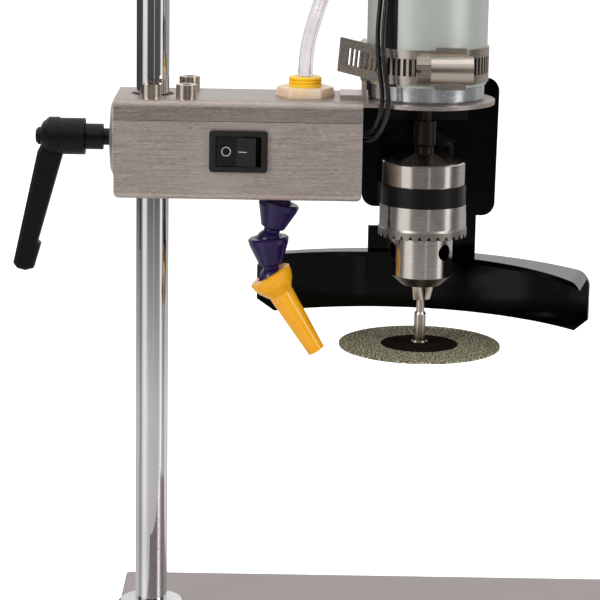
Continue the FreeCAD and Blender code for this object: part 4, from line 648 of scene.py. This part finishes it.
def studio():
    """A white backdrop for the camera, and a product studio's lights and dark gaps for everything else."""
    world = bpy.data.worlds.new("studio")
    bpy.context.scene.world = world
    world.use_nodes = True
    sky = Nodes(world.node_tree)

    def rise(source, start, gain):
        """0 up to the start, then rising by the gain to 1 at most."""
        return sky.math("MULTIPLY", sky.math("SUBTRACT", source, start), gain, clamp=True)

    def ring(turn, levels):
        """Brightness round the studio, a little warm."""
        return sky.blend(turn, *(((degrees + 180) / 360, (level, level * 0.99, level * 0.975, 1.0))
                                 for degrees, level in levels))

    direction = sky.node("TexCoord").outputs["Generated"]
    east, north, height = sky.node("SeparateXYZ", Vector=direction).outputs
    bearing = sky.math("ARCTAN2", east, sky.math("MULTIPLY", north, -1.0))
    turn = sky.math("MULTIPLY_ADD", bearing, 0.5 / math.pi, 0.5)
    around = sky.mix(rise(height, *TABLE_TOP), ring(turn, AT_EYE_LEVEL), ring(turn, BELOW_EYE_LEVEL))
    behind = sky.math("MULTIPLY", rise(north, *BACKDROP_DEPTH), rise(height, *BACKDROP_FOOT))
    around = sky.mix(behind, around, grey(BACKDROP))
    lit = sky.tree.nodes["Background"]
    sky.plug(lit, Color=sky.mix(rise(height, *CEILING), around, grey(OVERHEAD)))
    white = sky.node("Background", Color=grey(1.0))
    paths = sky.node("LightPath").outputs
    seen = sky.math("MAXIMUM", paths["Is Camera Ray"], paths["Is Transmission Ray"])
    sky.plug(sky.tree.nodes["World Output"], Surface=sky.joined("MixShader", seen, lit.outputs[0], white.outputs[0]))


def soft_light(name, spot, aim, size, power):
    data = bpy.data.lights.new(name, "AREA")
    data.shape = "RECTANGLE"
    data.size, data.size_y = size
    data.energy = power
    item = placed(name, data)
    item.location = spot
    item.rotation_euler = (Vector(aim) - Vector(spot)).to_track_quat("-Z", "Y").to_euler()


def pale_floor():
    """A white table: lit from within for the camera only, so that its shadows stay, and left out of reflections."""
    half = FLOOR_HALF
    mesh = bpy.data.meshes.new("floor")
    mesh.from_pydata([(-half, -half, 0), (half, -half, 0), (half, half, 0), (-half, half, 0)], [], [(0, 1, 2, 3)])
    item = placed("floor", mesh)
    look = Look("floor_white", grey(FLOOR_GREY), 0.9)
    look.plug(look.shader, Roughness=look.spread(look.grain(30 * MM, 2.0), 0.85, 0.95))
    plain = look.shader.outputs[0]
    paths = look.node("LightPath").outputs
    lit = look.joined("AddShader", plain, look.node("Emission", Strength=FLOOR_GLOW).outputs[0])
    seen = look.joined("MixShader", paths["Is Camera Ray"], plain, lit)
    clear = look.node("BsdfTransparent").outputs[0]
    look.plug(look.output, Surface=look.joined("MixShader", paths["Is Glossy Ray"], seen, clear))
    mesh.materials.append(look.material)


def camera():
    """The photograph's viewpoint: about 0.9 m away and 12 degrees down, rolled by a degree."""
    forward = Vector((0, math.cos(CAMERA_PITCH), -math.sin(CAMERA_PITCH)))
    level = Vector((1, 0, 0))
    lifted = level.cross(forward)
    right = level * math.cos(CAMERA_ROLL) + lifted * math.sin(CAMERA_ROLL)
    up = lifted * math.cos(CAMERA_ROLL) - level * math.sin(CAMERA_ROLL)
    data = bpy.data.cameras.new("camera")
    data.lens = CAMERA_LENS
    data.sensor_width = CAMERA_SENSOR
    item = placed("camera", data)
    item.matrix_world = Matrix((right, up, -forward)).transposed().to_4x4()
    item.location = CAMERA_SPOT
    bpy.context.scene.camera = item


studio()
soft_light("key_left", (-0.75, -0.75, 0.75), SPINDLE, (0.35, 0.6), 5.4)
soft_light("fill_right", (0.8, -0.5, 0.55), SPINDLE, (0.2, 0.6), 3.0)
soft_light("over", (0.0, 0.1, 1.1), (0, 0, 0.1), (1.4, 1.2), 3.6)
pale_floor()
camera()
bpy.context.scene.view_settings.view_transform = "Standard"
